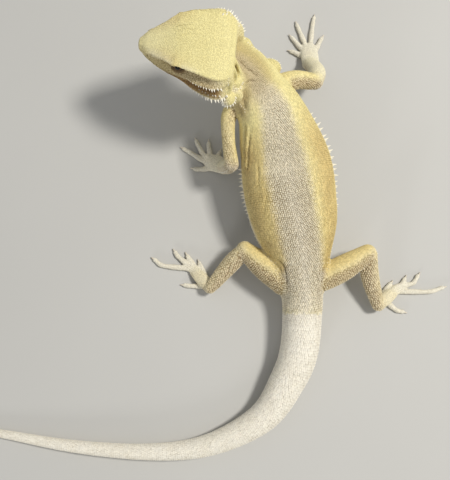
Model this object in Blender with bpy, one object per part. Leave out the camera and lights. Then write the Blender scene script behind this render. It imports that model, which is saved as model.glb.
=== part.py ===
"""A bearded dragon, life size, standing still with its head raised and turned to its right.

Every named part of the body is one closed solid. The body, neck and tail are one loft along the
spine, parted by thin cuts. Each leg is a chain of lofts, cut where it meets the body, and its
toes are joined to its foot. Lengths are in millimetres up to the last step, which turns them into
metres and puts the origin on the floor under the middle of the model.
"""
import math

import bmesh
import bpy
import numpy as np
from mathutils import Matrix, Vector

MM = 0.001
GAP = 0.3                 # clear space between neighbouring solids
FLOOR = 0.0               # the level that belly, tail and feet rest on
RING_PITCH = 3.7          # rings along the trunk, and one fringe spine to each
TRUNK_SIDES = 18
TAIL_SIDES = 12
LIMB_SIDES = 10
LIMB_PITCH = 6.5
DIGIT_SIDES = 6
DIGIT_PITCH = 6.0
CLAW_SIDES = 5
END_ANGLES = (45, 82)     # where the rings of a rounded end lie, from its rim to its pole
HEAD_PITCH = 4.0
BALL_SIDES = 10
BALL_RINGS = 6
SHARP_ANGLE = 35          # degrees between faces, past which an edge is shaded sharp
FINE_STEPS = 400          # how finely the spine is measured
TANGENT_STEP = 0.02

# The spine, from inside the head to the tip of the tail: x, y and z of the middle of the widest
# line, half width, height above it, depth below it, and how far the ridge of the back leans.
SPINE = (
    (-4.0, 94.5, 72.0, 12.0, 9.0, 8.0, 0.0),
    (9.0, 93.5, 60.0, 14.5, 11.5, 13.0, 0.0),
    (18.5, 85.0, 48.0, 17.0, 14.0, 16.0, 0.0),
    (27.5, 73.0, 40.0, 21.0, 17.5, 20.0, -1.0),
    (33.5, 58.0, 33.0, 25.5, 22.5, 17.5, -3.0),
    (38.0, 42.0, 28.0, 28.5, 25.5, 16.5, -3.0),
    (41.0, 22.0, 25.0, 28.5, 24.5, 16.0, -2.0),
    (43.5, 4.0, 21.5, 25.5, 23.0, 15.0, -1.0),
    (46.0, -14.0, 17.0, 17.5, 20.0, 14.5, 0.0),
    (48.0, -30.0, 14.0, 14.0, 18.5, 14.4, 0.0),
    (48.6, -46.0, 12.3, 12.4, 14.8, 12.9, 0.0),
    (46.3, -71.0, 11.6, 12.0, 12.6, 12.2, 0.0),
    (39.1, -89.4, 10.6, 11.1, 11.4, 11.1, 0.0),
    (22.9, -112.5, 8.8, 9.2, 9.4, 9.2, 0.0),
    (-9.9, -129.1, 6.4, 6.8, 6.9, 6.8, 0.0),
    (-46.5, -133.6, 4.8, 5.1, 5.2, 5.1, 0.0),
    (-94.0, -130.6, 3.5, 3.8, 3.8, 3.8, 0.0),
    (-141.2, -123.0, 2.2, 2.5, 2.5, 2.5, 0.0),
    (-180.0, -117.0, 1.3, 1.6, 1.6, 1.6, 0.0),
    (-212.0, -114.0, 0.5, 0.7, 0.7, 0.7, 0.0),
)
# Where the spine is parted, counted in the rows above.
SPINE_CUTS = (
    ("neck", 0.0, 2.3),
    ("chest", 2.3, 5.4),
    ("abdomen", 5.4, 8.1),
    ("pelvis", 8.1, 10.15),
    ("tail_1", 10.15, 12.6),
    ("tail_2", 12.6, 14.5),
    ("tail_3", 14.5, 16.6),
    ("tail_4", 16.6, 19.0),
)
TRUNK_LENGTHS = 5         # how many of them the legs' roots may touch
PITCHES = {"neck": 5.0, "pelvis": 5.0, "tail": 10.0}      # where the rings lie further apart
BODY_POWER = 0.92         # under 1 makes the sections squarer than an ellipse
FRINGE_FROM = {"left": 5.3, "right": 3.7}     # rows of SPINE where each flank's fringe starts
FRINGE_TO = {"left": 6.9, "right": 7.3}
FRINGE_LENGTH = 3.4
FRINGE_LEAN = 0.45        # how far the spines lean back, for each unit out

# The head in its own frame: x from the back of the skull to the snout, y to the left, z up from
# the mouth line.
HEAD_PLACE = Vector((2.5, 95.0, 75.0))
HEAD_TURN = 6.0           # degrees the snout points away from the model's own -x axis
MOUTH_END = 14.0          # how far forward of the skull's back the jaw gives way to the beard
NOSE_ROUNDING = (1.1, 0.55)      # how far the snout's cap stands out, and its size
# x, then half widths of cap, hollow under the brow, cheek, lip and jaw, then the height of the
# crown, the drop of the brow's edge, and the depth of the jaw.
HEAD = (
    (-1.5, 17.0, 17.6, 18.2, 18.0, 16.0, 10.0, 3.0, 11.0),
    (3.0, 19.5, 20.6, 21.5, 21.2, 19.5, 11.5, 2.2, 12.4),
    (9.0, 19.8, 20.8, 22.0, 21.8, 20.0, 12.6, 1.8, 12.0),
    (18.0, 17.2, 17.2, 19.5, 19.6, 17.2, 13.0, 1.2, 10.0),
    (26.0, 14.6, 12.8, 16.2, 16.6, 14.0, 12.6, 0.8, 8.2),
    (33.0, 12.0, 11.8, 13.6, 14.0, 11.4, 10.9, 1.4, 7.0),
    (40.0, 8.8, 9.6, 10.8, 11.2, 9.0, 8.9, 1.7, 5.9),
    (46.0, 5.8, 6.8, 7.6, 7.8, 6.2, 7.0, 1.6, 4.8),
    (49.5, 3.0, 3.8, 4.2, 4.2, 3.4, 4.9, 1.2, 3.4),
)
# Half the head's outline, from the crown round to the throat: which width each point takes, how
# much of it, and its height as parts of the crown, the brow's drop and the depth.
HEAD_WIDTHS = ("cap", "hollow", "cheek", "lip", "jaw")
HEAD_OUTLINE = (
    ("cap", 0.0, (1.0, 0.0, 0.0)),
    ("cap", 0.55, (1.0, -0.15, 0.0)),
    ("cap", 1.0, (1.0, -1.0, 0.0)),
    ("hollow", 1.0, (0.62, 0.0, 0.0)),
    ("cheek", 1.0, (0.28, 0.0, 0.0)),
    ("lip", 1.0, (-0.05, 0.0, 0.0)),
    ("jaw", 1.0, (0.0, 0.0, -0.55)),
    ("jaw", 0.55, (0.0, 0.0, -0.93)),
    ("jaw", 0.0, (0.0, 0.0, -1.0)),
)
EYE_PLACE = (26.5, 11.2, 7.0)
EYE_RADIUS = 4.6
BEARD_SPINES = (-1.0, 15.0)      # from and to, along the head
BEARD_LENGTH = 2.8
BEARD_POINT = 12                 # the ring's point on the left of the jaw where they grow
BEARD_DROOP = 0.5                # how far the spines point down, for each unit out
EAR_PLACE = (4.6, 20.4, 4.2)
EAR_RADII = (2.4, 1.2, 2.8)

# Each limb from the body outwards: rows of x, y, z, half width and half height for its upper
# length, its lower length and its palm or sole.
LIMBS = {
    "upper_arm_left": ((12.0, 80.0, 41.0, 6.5, 7.0), (2.8, 72.0, 41.0, 5.0, 5.4),
                       (2.2, 56.0, 39.5, 4.2, 4.5), (4.2, 42.0, 36.0, 4.5, 4.6)),
    "forearm_left": ((4.0, 42.0, 35.0, 4.4, 4.4), (2.0, 43.5, 24.0, 4.8, 4.8),
                     (-1.0, 47.5, 9.0, 4.4, 4.2)),
    "hand_left": ((0.0, 46.8, 7.0, 4.6, 4.0), (-5.5, 50.6, 4.2, 6.2, 3.2),
                  (-11.5, 54.0, 1.8, 5.6, 2.3)),
    "upper_arm_right": ((28.0, 88.0, 40.0, 7.5, 8.5), (43.0, 96.0, 36.0, 5.6, 6.6),
                        (57.5, 98.2, 29.0, 4.7, 5.0)),
    "forearm_right": ((57.6, 98.6, 28.0, 4.8, 5.0), (60.0, 107.5, 20.0, 5.6, 5.4),
                      (58.4, 119.0, 8.0, 5.2, 4.2)),
    "hand_right": ((58.2, 118.5, 6.5, 5.4, 4.0), (57.6, 127.0, 4.0, 6.2, 3.1),
                   (57.2, 135.0, 1.8, 5.8, 2.3)),
    "thigh_left": ((38.0, -29.0, 16.0, 9.0, 11.0), (24.0, -18.5, 18.0, 8.2, 9.5),
                   (12.5, -9.0, 19.5, 5.6, 6.2)),
    "shin_left": ((12.0, -9.5, 19.0, 5.3, 5.6), (3.0, -18.0, 14.5, 5.5, 5.4),
                  (-9.5, -32.0, 7.5, 3.9, 3.9)),
    "foot_left": ((-9.5, -31.5, 6.0, 4.4, 3.8), (-16.0, -25.0, 4.2, 5.6, 3.2),
                  (-22.5, -18.5, 1.8, 5.2, 2.3)),
    "thigh_right": ((58.0, -31.0, 16.0, 9.0, 11.0), (73.0, -21.0, 18.0, 8.6, 9.5),
                    (89.0, -11.0, 19.5, 5.8, 6.2)),
    "shin_right": ((90.0, -12.0, 19.0, 5.4, 5.6), (91.5, -25.0, 14.0, 5.6, 5.4),
                   (97.5, -43.0, 7.5, 4.0, 3.9)),
    "foot_right": ((98.0, -42.5, 6.0, 4.6, 3.8), (106.0, -36.8, 4.2, 5.6, 3.2),
                   (113.0, -31.8, 1.8, 5.0, 2.3)),
}
# Each limb length is cut to clear the one before it.
CHAINS = (
    ("upper_arm_left", "forearm_left", "hand_left"),
    ("upper_arm_right", "forearm_right", "hand_right"),
    ("thigh_left", "shin_left", "foot_left"),
    ("thigh_right", "shin_right", "foot_right"),
)
# Root, middle and claw tip of each digit, from the first to the fifth, as x and y on the floor.
DIGITS = {
    "hand_left": (((-5.5, 53.0), (-3.7, 59.1), (-2.1, 62.5)),
                  ((-9.3, 55.5), (-11.1, 63.6), (-11.1, 68.7)),
                  ((-13.6, 56.5), (-17.9, 63.6), (-20.6, 70.0)),
                  ((-13.4, 52.6), (-22.1, 58.3), (-30.3, 63.1)),
                  ((-9.5, 47.8), (-17.8, 47.4), (-23.4, 48.4))),
    "hand_right": (((53.5, 126.5), (46.7, 130.3), (42.4, 131.6)),
                   ((54.0, 130.0), (47.8, 138.4), (43.8, 143.3)),
                   ((55.5, 134.0), (51.3, 145.5), (48.6, 153.1)),
                   ((58.9, 136.0), (60.5, 149.6), (62.3, 158.3)),
                   ((61.3, 129.0), (65.6, 138.4), (68.5, 143.1))),
    "foot_left": (((-13.8, -22.0), (-15.4, -18.4), (-18.0, -12.6)),
                  ((-19.5, -18.0), (-24.3, -11.4), (-26.2, -7.9)),
                  ((-22.5, -18.0), (-30.5, -11.4), (-34.4, -5.7)),
                  ((-23.0, -19.5), (-40.4, -17.1), (-48.7, -11.4)),
                  ((-13.4, -30.6), (-22.7, -30.3), (-29.4, -29.5))),
    "foot_right": (((103.6, -34.0), (105.8, -31.0), (109.8, -26.4)),
                   ((110.8, -33.4), (116.0, -27.8), (118.5, -23.0)),
                   ((111.6, -30.8), (121.8, -28.9), (127.6, -21.3)),
                   ((111.8, -34.2), (132.0, -34.1), (144.6, -30.6)),
                   ((104.5, -40.8), (110.5, -45.8), (118.1, -47.9))),
}
DIGIT_HEIGHTS = (1.75, 1.3, 0.95)       # of the middle line at root, middle and end
DIGIT_RADII = (2.1, 1.6, 1.25)
FLOOR_BLOCK = 600.0
CLAW_LENGTH = 2.7
CLAW_RADIUS = 0.7
CLAW_POINT = 0.12
CLAW_TIP_HEIGHT = 0.4

FOLDED_LIMB = "upper_arm_right"        # the limb that a swelling of loose skin lies against
# Swellings of loose skin: which node they belong to, place, and radii.
FOLDS = (
    ("neck", (7.0, 111.0, 71.0), (4.5, 7.0, 7.5)),
    ("neck", (10.5, 103.5, 62.0), (6.5, 7.2, 8.0)),
    ("neck", (26.0, 99.5, 45.0), (8.5, 6.0, 7.0)),
)

COLOURS = {
    "head": (0.80, 0.70, 0.34), "neck": (0.70, 0.60, 0.34), "chest": (0.68, 0.56, 0.28),
    "tail": (0.80, 0.74, 0.60), "limb": (0.72, 0.60, 0.34), "beard": (0.76, 0.68, 0.42),
    "claw": (0.35, 0.30, 0.24), "eye": (0.02, 0.015, 0.01), "ear": (0.45, 0.34, 0.22),
}
ROUGHNESS = {"eye": 0.08, "claw": 0.35}
PLAIN_ROUGHNESS = 0.7
KINDS = {
    "lower": "head", "abdomen": "chest", "pelvis": "chest", "upper": "limb", "forearm": "limb",
    "hand": "limb", "thigh": "limb", "shin": "limb", "foot": "limb",
}


def catmull(rows, t):
    """The smooth curve through the rows at t, where row 0 is at 0, row 1 at 1 and so on."""
    rows = np.asarray(rows, float)
    last = len(rows) - 1
    t = min(max(t, 0.0), float(last))
    i = min(int(t), last - 1)
    f = t - i
    before = rows[i - 1] if i > 0 else 2 * rows[0] - rows[1]
    after = rows[i + 2] if i + 2 <= last else 2 * rows[last] - rows[last - 1]
    p, q = rows[i], rows[i + 1]
    return 0.5 * (2 * p + (q - before) * f + (2 * before - 5 * p + 4 * q - after) * f ** 2
                  + (3 * p - before - 3 * q + after) * f ** 3)


def spine_row(t, grow=0.0):
    """Place, frame and section of the spine at t: centre, left, up, half width, rise and drop."""
    row = catmull(SPINE, t)
    ahead, behind = catmull(SPINE, t + TANGENT_STEP), catmull(SPINE, t - TANGENT_STEP)
    tangent = Vector(ahead[:3] - behind[:3]).normalized()
    left = tangent.cross(Vector((0, 0, 1))).normalized()
    up = left.cross(tangent).normalized()
    return Vector(row[:3]), tangent, left, up, row[3] + grow, row[4] + grow, row[5] + grow, row[6]


def rounded(angle, power):
    """Cosine and sine of a section that is a little squarer than an ellipse."""
    c, s = math.cos(angle), math.sin(angle)
    return (math.copysign(abs(c) ** power, c), math.copysign(abs(s) ** power, s))


def spine_ring(t, sides, grow=0.0, along=0.0):
    """One ring round the spine, starting at the left flank and going over the back."""
    centre, tangent, left, up, half, rise, drop, lean = spine_row(t, grow)
    centre = centre + tangent * along
    ring = []
    for i in range(sides):
        c, s = rounded(2 * math.pi * i / sides, BODY_POWER)
        height = rise * s if s > 0 else drop * s
        lean_here = lean * max(s, 0.0) ** 2
        ring.append(centre + left * (half * c - lean_here) + up * height)
    return ring


def even_steps(start, end, pitch):
    """Values of t from start to end whose rings lie about pitch apart along the spine."""
    fine = [start + (end - start) * i / FINE_STEPS for i in range(FINE_STEPS + 1)]
    points = [Vector(catmull(SPINE, t)[:3]) for t in fine]
    run = [0.0]
    for a, b in zip(points, points[1:]):
        run.append(run[-1] + (b - a).length)
    count = max(2, round(run[-1] / pitch))
    return [float(np.interp(run[-1] * i / count, run, fine)) for i in range(count + 1)]


def skin_rings(rings, spines=(), spine_out=None):
    """A closed mesh over the rings, with flat ends and a spine on each named (ring, side)."""
    mesh = bmesh.new()
    rows = [[mesh.verts.new(p) for p in ring] for ring in rings]
    sides = len(rows[0])
    for r in range(len(rows) - 1):
        for s in range(sides):
            quad = (rows[r][s], rows[r][(s + 1) % sides],
                    rows[r + 1][(s + 1) % sides], rows[r + 1][s])
            if (r, s) in spines:
                tip = mesh.verts.new(spine_out(r, s, sum((v.co for v in quad), Vector()) / 4))
                for a, b in zip(quad, quad[1:] + quad[:1]):
                    mesh.faces.new((a, b, tip))
            else:
                mesh.faces.new(quad)
    mesh.faces.new(rows[0])
    mesh.faces.new(rows[-1])
    bmesh.ops.recalc_face_normals(mesh, faces=mesh.faces)
    return mesh


def length_steps(name, start, end):
    """Where the rings of one length of the body lie."""
    return even_steps(start, end, PITCHES.get(name.split("_")[0], RING_PITCH))


def spine_length(name, start, end):
    """One length of the body, parted from its neighbours by thin cuts."""
    sides = TAIL_SIDES if name.startswith("tail") else TRUNK_SIDES
    steps = length_steps(name, start, end)
    shifts = [0.0] * len(steps)
    shifts[0] = GAP / 2 if start > 0 else 0.0
    shifts[-1] = -GAP / 2
    rings = [spine_ring(t, sides, along=a) for t, a in zip(steps, shifts)]
    fringe = set()
    for i, t in enumerate(steps[:-1]):
        for side, place in (("left", 0), ("right", sides // 2 - 1)):
            if FRINGE_FROM[side] < t < FRINGE_TO[side]:
                fringe.add((i, place))

    def out(r, s, base):
        tangent, left = spine_row(steps[r])[1:3]
        side = 1 if s == 0 else -1
        return base + (left * side + tangent * FRINGE_LEAN) * FRINGE_LENGTH

    return skin_rings(rings, fringe, out)


def tube_rows(rows, pitch, grow, flat_start):
    """Evenly spaced rows along a limb, with the rows of its rounded ends."""
    last = len(rows) - 1
    length = sum((Vector(b[:3]) - Vector(a[:3])).length for a, b in zip(rows, rows[1:]))
    count = max(2, round(length / pitch))
    body = [catmull(rows, last * i / count) for i in range(count + 1)]
    body = [np.concatenate((row[:3], row[3:] + grow)) for row in body]
    ends = []
    for row, inner in ((body[0], body[1]), (body[-1], body[-2])):
        outward = Vector(row[:3] - inner[:3]).normalized()
        reach = min(row[3], row[4])
        cap = []
        for angle in END_ANGLES:
            a = math.radians(angle)
            place = Vector(row[:3]) + outward * reach * math.sin(a)
            cap.append(np.concatenate((np.array(place), row[3:] * math.cos(a))))
        ends.append(cap)
    return ([] if flat_start else ends[0][::-1]) + body + ends[1]


def tube(rows, pitch, sides, grow=0.0, flat_start=False):
    """A closed tube with rounded ends along rows of x, y, z, half width and half height."""
    rows = tube_rows(rows, pitch, grow, flat_start)
    points = [Vector(row[:3]) for row in rows]
    tangents = [(points[min(i + 1, len(points) - 1)] - points[max(i - 1, 0)]).normalized()
                for i in range(len(points))]
    left = tangents[0].cross(Vector((0, 0, 1))).normalized()
    rings = []
    for row, point, tangent in zip(rows, points, tangents):
        left = (left - tangent * left.dot(tangent)).normalized()
        up = left.cross(tangent)
        ring = []
        for i in range(sides):
            a = 2 * math.pi * i / sides - math.pi / 2
            ring.append(point + left * row[3] * math.cos(a) + up * row[4] * math.sin(a))
        rings.append(ring)
    return skin_rings(rings)


def head_axes():
    """The head's own forward, left and up."""
    turn = math.radians(HEAD_TURN)
    up = Vector((0, 0, 1))
    forward = Vector((-math.cos(turn), math.sin(turn), 0))
    return forward, up.cross(forward), up


def head_point(x, y, z):
    """A point of the head's frame, as a point of the model."""
    forward, left, up = head_axes()
    return HEAD_PLACE + forward * x + left * y + up * z


def head_ring(x, grow=0.0, extra=0.0):
    """The head's outline across x, in the head's frame."""
    stations = [row[0] for row in HEAD]
    t = float(np.interp(x, stations, range(len(stations))))
    row = catmull(HEAD, t)
    widths = dict(zip(HEAD_WIDTHS, row[1:6]))
    half = [(widths[name] * share, float(np.dot(row[6:], heights)))
            for name, share, heights in HEAD_OUTLINE]
    outline = half + [(-y, z) for y, z in half[-2:0:-1]]
    ring = []
    count = len(outline)
    for i in range(count):
        for f in (0.0, 0.5):
            ring.append(loop_point(outline, i + f))
    if grow:
        ring = [(y + grow * y / math.hypot(y, z), z + grow * z / math.hypot(y, z))
                for y, z in ring]
    return [head_point(x + extra, y, z) for y, z in ring]


def loop_point(outline, t):
    """The smooth closed curve through an outline at t."""
    n = len(outline)
    i = int(t)
    f = t - i
    a, b, c, d = (np.array(outline[(i + k) % n]) for k in (-1, 0, 1, 2))
    y, z = 0.5 * (2 * b + (c - a) * f + (2 * a - 5 * b + 4 * c - d) * f ** 2
                  + (3 * b - a - 3 * c + d) * f ** 3)
    return y, z


def whole_head(grow=0.0):
    """Skull, jaw and throat in one piece, with the beard's spines unless it is grown."""
    start, end = HEAD[0][0], HEAD[-1][0]
    count = round((end - start) / HEAD_PITCH)
    steps = [start + (end - start) * i / count for i in range(count + 1)]
    extras = [0.0] * len(steps)
    extras[0] = -grow
    extras[-1] = grow
    rings = [head_ring(x, grow, extra) for x, extra in zip(steps, extras)]
    reach, size = NOSE_ROUNDING
    middle, front = head_point(end, 0, 0), head_point(end + reach + grow, 0, 0)
    nose = [(point - middle) * size + front for point in rings[-1]]
    _, left, up = head_axes()
    spines = {}
    for i, x in enumerate(steps):
        if BEARD_SPINES[0] < x < BEARD_SPINES[1] and not grow:
            spines[(i, BEARD_POINT)] = left - up * BEARD_DROOP
            spines[(i, len(rings[0]) - BEARD_POINT - 1)] = -left - up * BEARD_DROOP

    def out(r, s, base):
        return base + spines[(r, s)] * BEARD_LENGTH

    return skin_rings(rings + [nose], spines, out)


def cut_plane(mesh, place, keep):
    """Keep the side of a plane that keep points to, and close the cut."""
    geometry = mesh.verts[:] + mesh.edges[:] + mesh.faces[:]
    bmesh.ops.bisect_plane(mesh, geom=geometry, plane_co=place, plane_no=-keep,
                           clear_outer=True, dist=1e-5)
    rim = [edge for edge in mesh.edges if edge.is_boundary]
    bmesh.ops.holes_fill(mesh, edges=rim, sides=0)
    bmesh.ops.recalc_face_normals(mesh, faces=mesh.faces)
    return mesh


def cut_floor(mesh):
    """Small flats where the body rests."""
    if min(v.co.z for v in mesh.verts) < FLOOR:
        cut_plane(mesh, Vector((0, 0, FLOOR)), Vector((0, 0, 1)))
    return mesh


def ball(place, radii, axes=None):
    """An ellipsoid, along the model's axes or the given ones."""
    mesh = bmesh.new()
    bmesh.ops.create_uvsphere(mesh, u_segments=BALL_SIDES, v_segments=BALL_RINGS, radius=1.0)
    axes = axes or (Vector((1, 0, 0)), Vector((0, 1, 0)), Vector((0, 0, 1)))
    for v in mesh.verts:
        v.co = Vector(place) + sum((axis * (r * c) for axis, r, c in zip(axes, radii, v.co)),
                                   Vector())
    return mesh


def material(name):
    """The plain finish of a node."""
    kind = name.split("_")[0]
    kind = KINDS.get(kind, kind)
    found = bpy.data.materials.get(kind)
    if found:
        return found
    made = bpy.data.materials.new(kind)
    made.use_nodes = True
    shader = made.node_tree.nodes["Principled BSDF"]
    shader.inputs["Base Color"].default_value = COLOURS[kind] + (1.0,)
    shader.inputs["Roughness"].default_value = ROUGHNESS.get(kind, PLAIN_ROUGHNESS)
    made.diffuse_color = COLOURS[kind] + (1.0,)
    return made


def put(collection, name, mesh, cutter=False):
    """Turn a mesh built in millimetres into an object."""
    for v in mesh.verts:
        v.co = v.co * MM
    data = bpy.data.meshes.new(name)
    mesh.to_mesh(data)
    mesh.free()
    thing = bpy.data.objects.new(name, data)
    collection.objects.link(thing)
    if cutter:
        thing.hide_render = True
        thing.display_type = "WIRE"
    else:
        data.materials.append(material(name))
        data.shade_smooth()
        data.set_sharp_from_angle(angle=math.radians(SHARP_ANGLE))
    return thing


def boolean(thing, tool, operation):
    """Cut or join with another object, by the exact solver."""
    modifier = thing.modifiers.new(operation.lower(), "BOOLEAN")
    modifier.operation = operation
    modifier.solver = "EXACT"
    modifier.object = tool
    modifier.use_self = operation == "UNION"


def build_spine(parts, tools):
    """Neck, trunk and tail."""
    made = {}
    for name, start, end in SPINE_CUTS:
        made[name] = put(parts, name, cut_floor(spine_length(name, start, end)))
    for number, (name, place, radii) in enumerate(FOLDS):
        fold = put(tools, f"fold_{number}", ball(place, radii), cutter=True)
        boolean(made[name], fold, "UNION")
    cutter = put(tools, "head_clearance", whole_head(GAP), cutter=True)
    boolean(made["neck"], cutter, "DIFFERENCE")


def build_head(parts, tools):
    """Skull, jaw, beard, eyes and ears."""
    forward, left, up = head_axes()
    mouth = head_point(0, 0, 0)
    corner = head_point(MOUTH_END, 0, 0)
    half = GAP / 2
    skull = put(parts, "head", cut_plane(whole_head(), mouth + up * half, up))
    jaw = cut_plane(whole_head(), mouth - up * half, -up)
    put(parts, "lower_jaw", cut_plane(jaw, corner + forward * half, forward))
    beard = cut_plane(whole_head(), mouth - up * half, -up)
    put(parts, "beard", cut_plane(beard, corner - forward * half, -forward))
    for side, label in ((1, "left"), (-1, "right")):
        x, y, z = EYE_PLACE
        place = head_point(x, y * side, z)
        put(parts, "eye_" + label, ball(place, [EYE_RADIUS] * 3))
        socket = put(tools, "socket_" + label, ball(place, [EYE_RADIUS + GAP] * 3), cutter=True)
        boolean(skull, socket, "DIFFERENCE")
        x, y, z = EAR_PLACE
        place = head_point(x, y * side, z)
        axes = (forward, left, up)
        put(parts, "ear_" + label, ball(place, EAR_RADII, axes))
        hole = put(tools, "ear_hole_" + label,
                   ball(place, [r + GAP for r in EAR_RADII], axes), cutter=True)
        boolean(skull, hole, "DIFFERENCE")


def digit_rows(root, middle, tip):
    """Rows along one digit, stopping where its claw begins."""
    tip = Vector((*tip, 0.0))
    middle = Vector((*middle, 0.0))
    end = tip + (middle - tip).normalized() * (CLAW_LENGTH + DIGIT_RADII[2] + GAP)
    places = (Vector((*root, 0.0)), middle, end)
    rows = []
    for place, height, radius in zip(places, DIGIT_HEIGHTS, DIGIT_RADII):
        rows.append((place.x, place.y, height, radius, radius))
    return rows


def claw(middle, tip):
    """A claw that points on from its digit and down to the floor."""
    tip = Vector((*tip, 0.0))
    along = (tip - Vector((*middle, 0.0))).normalized()
    drop = DIGIT_HEIGHTS[2] - CLAW_TIP_HEIGHT
    axis = (along * CLAW_LENGTH - Vector((0, 0, drop))).normalized()
    mesh = bmesh.new()
    bmesh.ops.create_cone(mesh, cap_ends=True, segments=CLAW_SIDES, radius1=CLAW_RADIUS,
                          radius2=CLAW_POINT, depth=CLAW_LENGTH)
    turn = Vector((0, 0, 1)).rotation_difference(axis)
    place = tip - along * CLAW_LENGTH / 2 + Vector((0, 0, CLAW_TIP_HEIGHT + drop / 2))
    for v in mesh.verts:
        v.co = turn @ v.co + place
    return mesh


def body_clearance(tools):
    """The trunk's outline with its gap, which the legs' roots are cut by."""
    rings = []
    for name, start, end in SPINE_CUTS[:TRUNK_LENGTHS]:
        steps = length_steps(name, start, end)
        rings += [spine_ring(t, TRUNK_SIDES, GAP) for t in steps[:-1]]
    body = put(tools, "body_clearance", skin_rings(rings), cutter=True)
    folds = []
    for number, (_, place, radii) in enumerate(FOLDS):
        grown = [r + GAP for r in radii]
        folds.append(put(tools, f"fold_{number}_clearance", ball(place, grown), True))
    return body, folds


def floor_block(tools):
    """The space under the floor."""
    mesh = bmesh.new()
    bmesh.ops.create_cube(mesh, size=FLOOR_BLOCK)
    bmesh.ops.translate(mesh, verts=mesh.verts, vec=(0, 0, FLOOR - FLOOR_BLOCK / 2))
    return put(tools, "floor_block", mesh, cutter=True)


def add_digits(parts, tools, name, foot, floor):
    """Join a foot's digits to it, level it with the floor, and set a claw at each digit."""
    for number, (root, middle, tip) in enumerate(DIGITS[name], 1):
        toe = tube(digit_rows(root, middle, tip), DIGIT_PITCH, DIGIT_SIDES, flat_start=True)
        digit = put(tools, f"{name}_digit_{number}", toe, cutter=True)
        boolean(foot, digit, "UNION")
        put(parts, f"claw_{name}_{number}", claw(middle, tip))
    boolean(foot, floor, "DIFFERENCE")


def build_limbs(parts, tools):
    """Four legs, cut clear of the trunk and of each other's lengths."""
    body, folds = body_clearance(tools)
    floor = floor_block(tools)
    for chain in CHAINS:
        cutters = [body]
        if chain[0] == FOLDED_LIMB:
            cutters += folds
        for name in chain:
            made = put(parts, name, tube(LIMBS[name], LIMB_PITCH, LIMB_SIDES))
            if name in DIGITS:
                add_digits(parts, tools, name, made, floor)
            for cutter in cutters:
                boolean(made, cutter, "DIFFERENCE")
            clear = tube(LIMBS[name], LIMB_PITCH, LIMB_SIDES, grow=GAP)
            cutters = [put(tools, name + "_clearance", clear, cutter=True)]


def stand_on_origin(parts, tools):
    """Move everything so that the origin is on the floor under the middle of the model."""
    corners = [v.co for thing in parts.objects for v in thing.data.vertices]
    low = Vector([min(c[i] for c in corners) for i in range(3)])
    high = Vector([max(c[i] for c in corners) for i in range(3)])
    shift = Vector(((low.x + high.x) / -2, (low.y + high.y) / -2, -FLOOR * MM))
    for thing in list(parts.objects) + list(tools.objects):
        thing.data.transform(Matrix.Translation(shift))


def main():
    for thing in list(bpy.data.objects):
        bpy.data.objects.remove(thing, do_unlink=True)
    parts = bpy.data.collections.new("bearded_dragon")
    tools = bpy.data.collections.new("cutters")
    for collection in (parts, tools):
        bpy.context.scene.collection.children.link(collection)
    build_spine(parts, tools)
    build_head(parts, tools)
    build_limbs(parts, tools)
    stand_on_origin(parts, tools)


main()
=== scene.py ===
"""The looks of a life-size bearded dragon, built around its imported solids.

One skin stands for every node of flesh: lofts along the spine, the head, the legs and the digits
are joined by a voxel remesh, smoothed where they meet, and given folds, lids, lips and nostrils.
The coat over it is solid scales. They lie in rows that follow each loft, fill what the rows leave
free, and take their size, relief and markings from the skin under them. Shapes are worked out in
millimetres in the design's own frame, and moved into the frame's place as they are made.
"""
import math

import bmesh
import bpy
import numpy as np
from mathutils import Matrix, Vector
from mathutils.kdtree import KDTree


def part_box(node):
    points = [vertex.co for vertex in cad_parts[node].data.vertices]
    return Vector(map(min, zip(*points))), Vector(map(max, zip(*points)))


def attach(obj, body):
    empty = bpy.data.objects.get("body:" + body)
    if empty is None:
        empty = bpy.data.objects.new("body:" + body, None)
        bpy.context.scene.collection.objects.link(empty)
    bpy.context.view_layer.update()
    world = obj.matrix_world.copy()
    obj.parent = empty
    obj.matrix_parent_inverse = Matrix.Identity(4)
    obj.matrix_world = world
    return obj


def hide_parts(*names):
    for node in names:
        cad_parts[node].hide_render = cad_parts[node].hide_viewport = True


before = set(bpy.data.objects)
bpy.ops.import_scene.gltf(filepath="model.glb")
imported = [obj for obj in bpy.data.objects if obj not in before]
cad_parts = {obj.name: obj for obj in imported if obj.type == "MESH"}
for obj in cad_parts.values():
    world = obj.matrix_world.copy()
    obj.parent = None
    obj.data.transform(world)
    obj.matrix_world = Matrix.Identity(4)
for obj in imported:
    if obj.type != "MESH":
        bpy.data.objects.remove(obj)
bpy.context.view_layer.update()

MM = 0.001
SEED = 11
UP = np.array((0.0, 0.0, 1.0))

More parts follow.
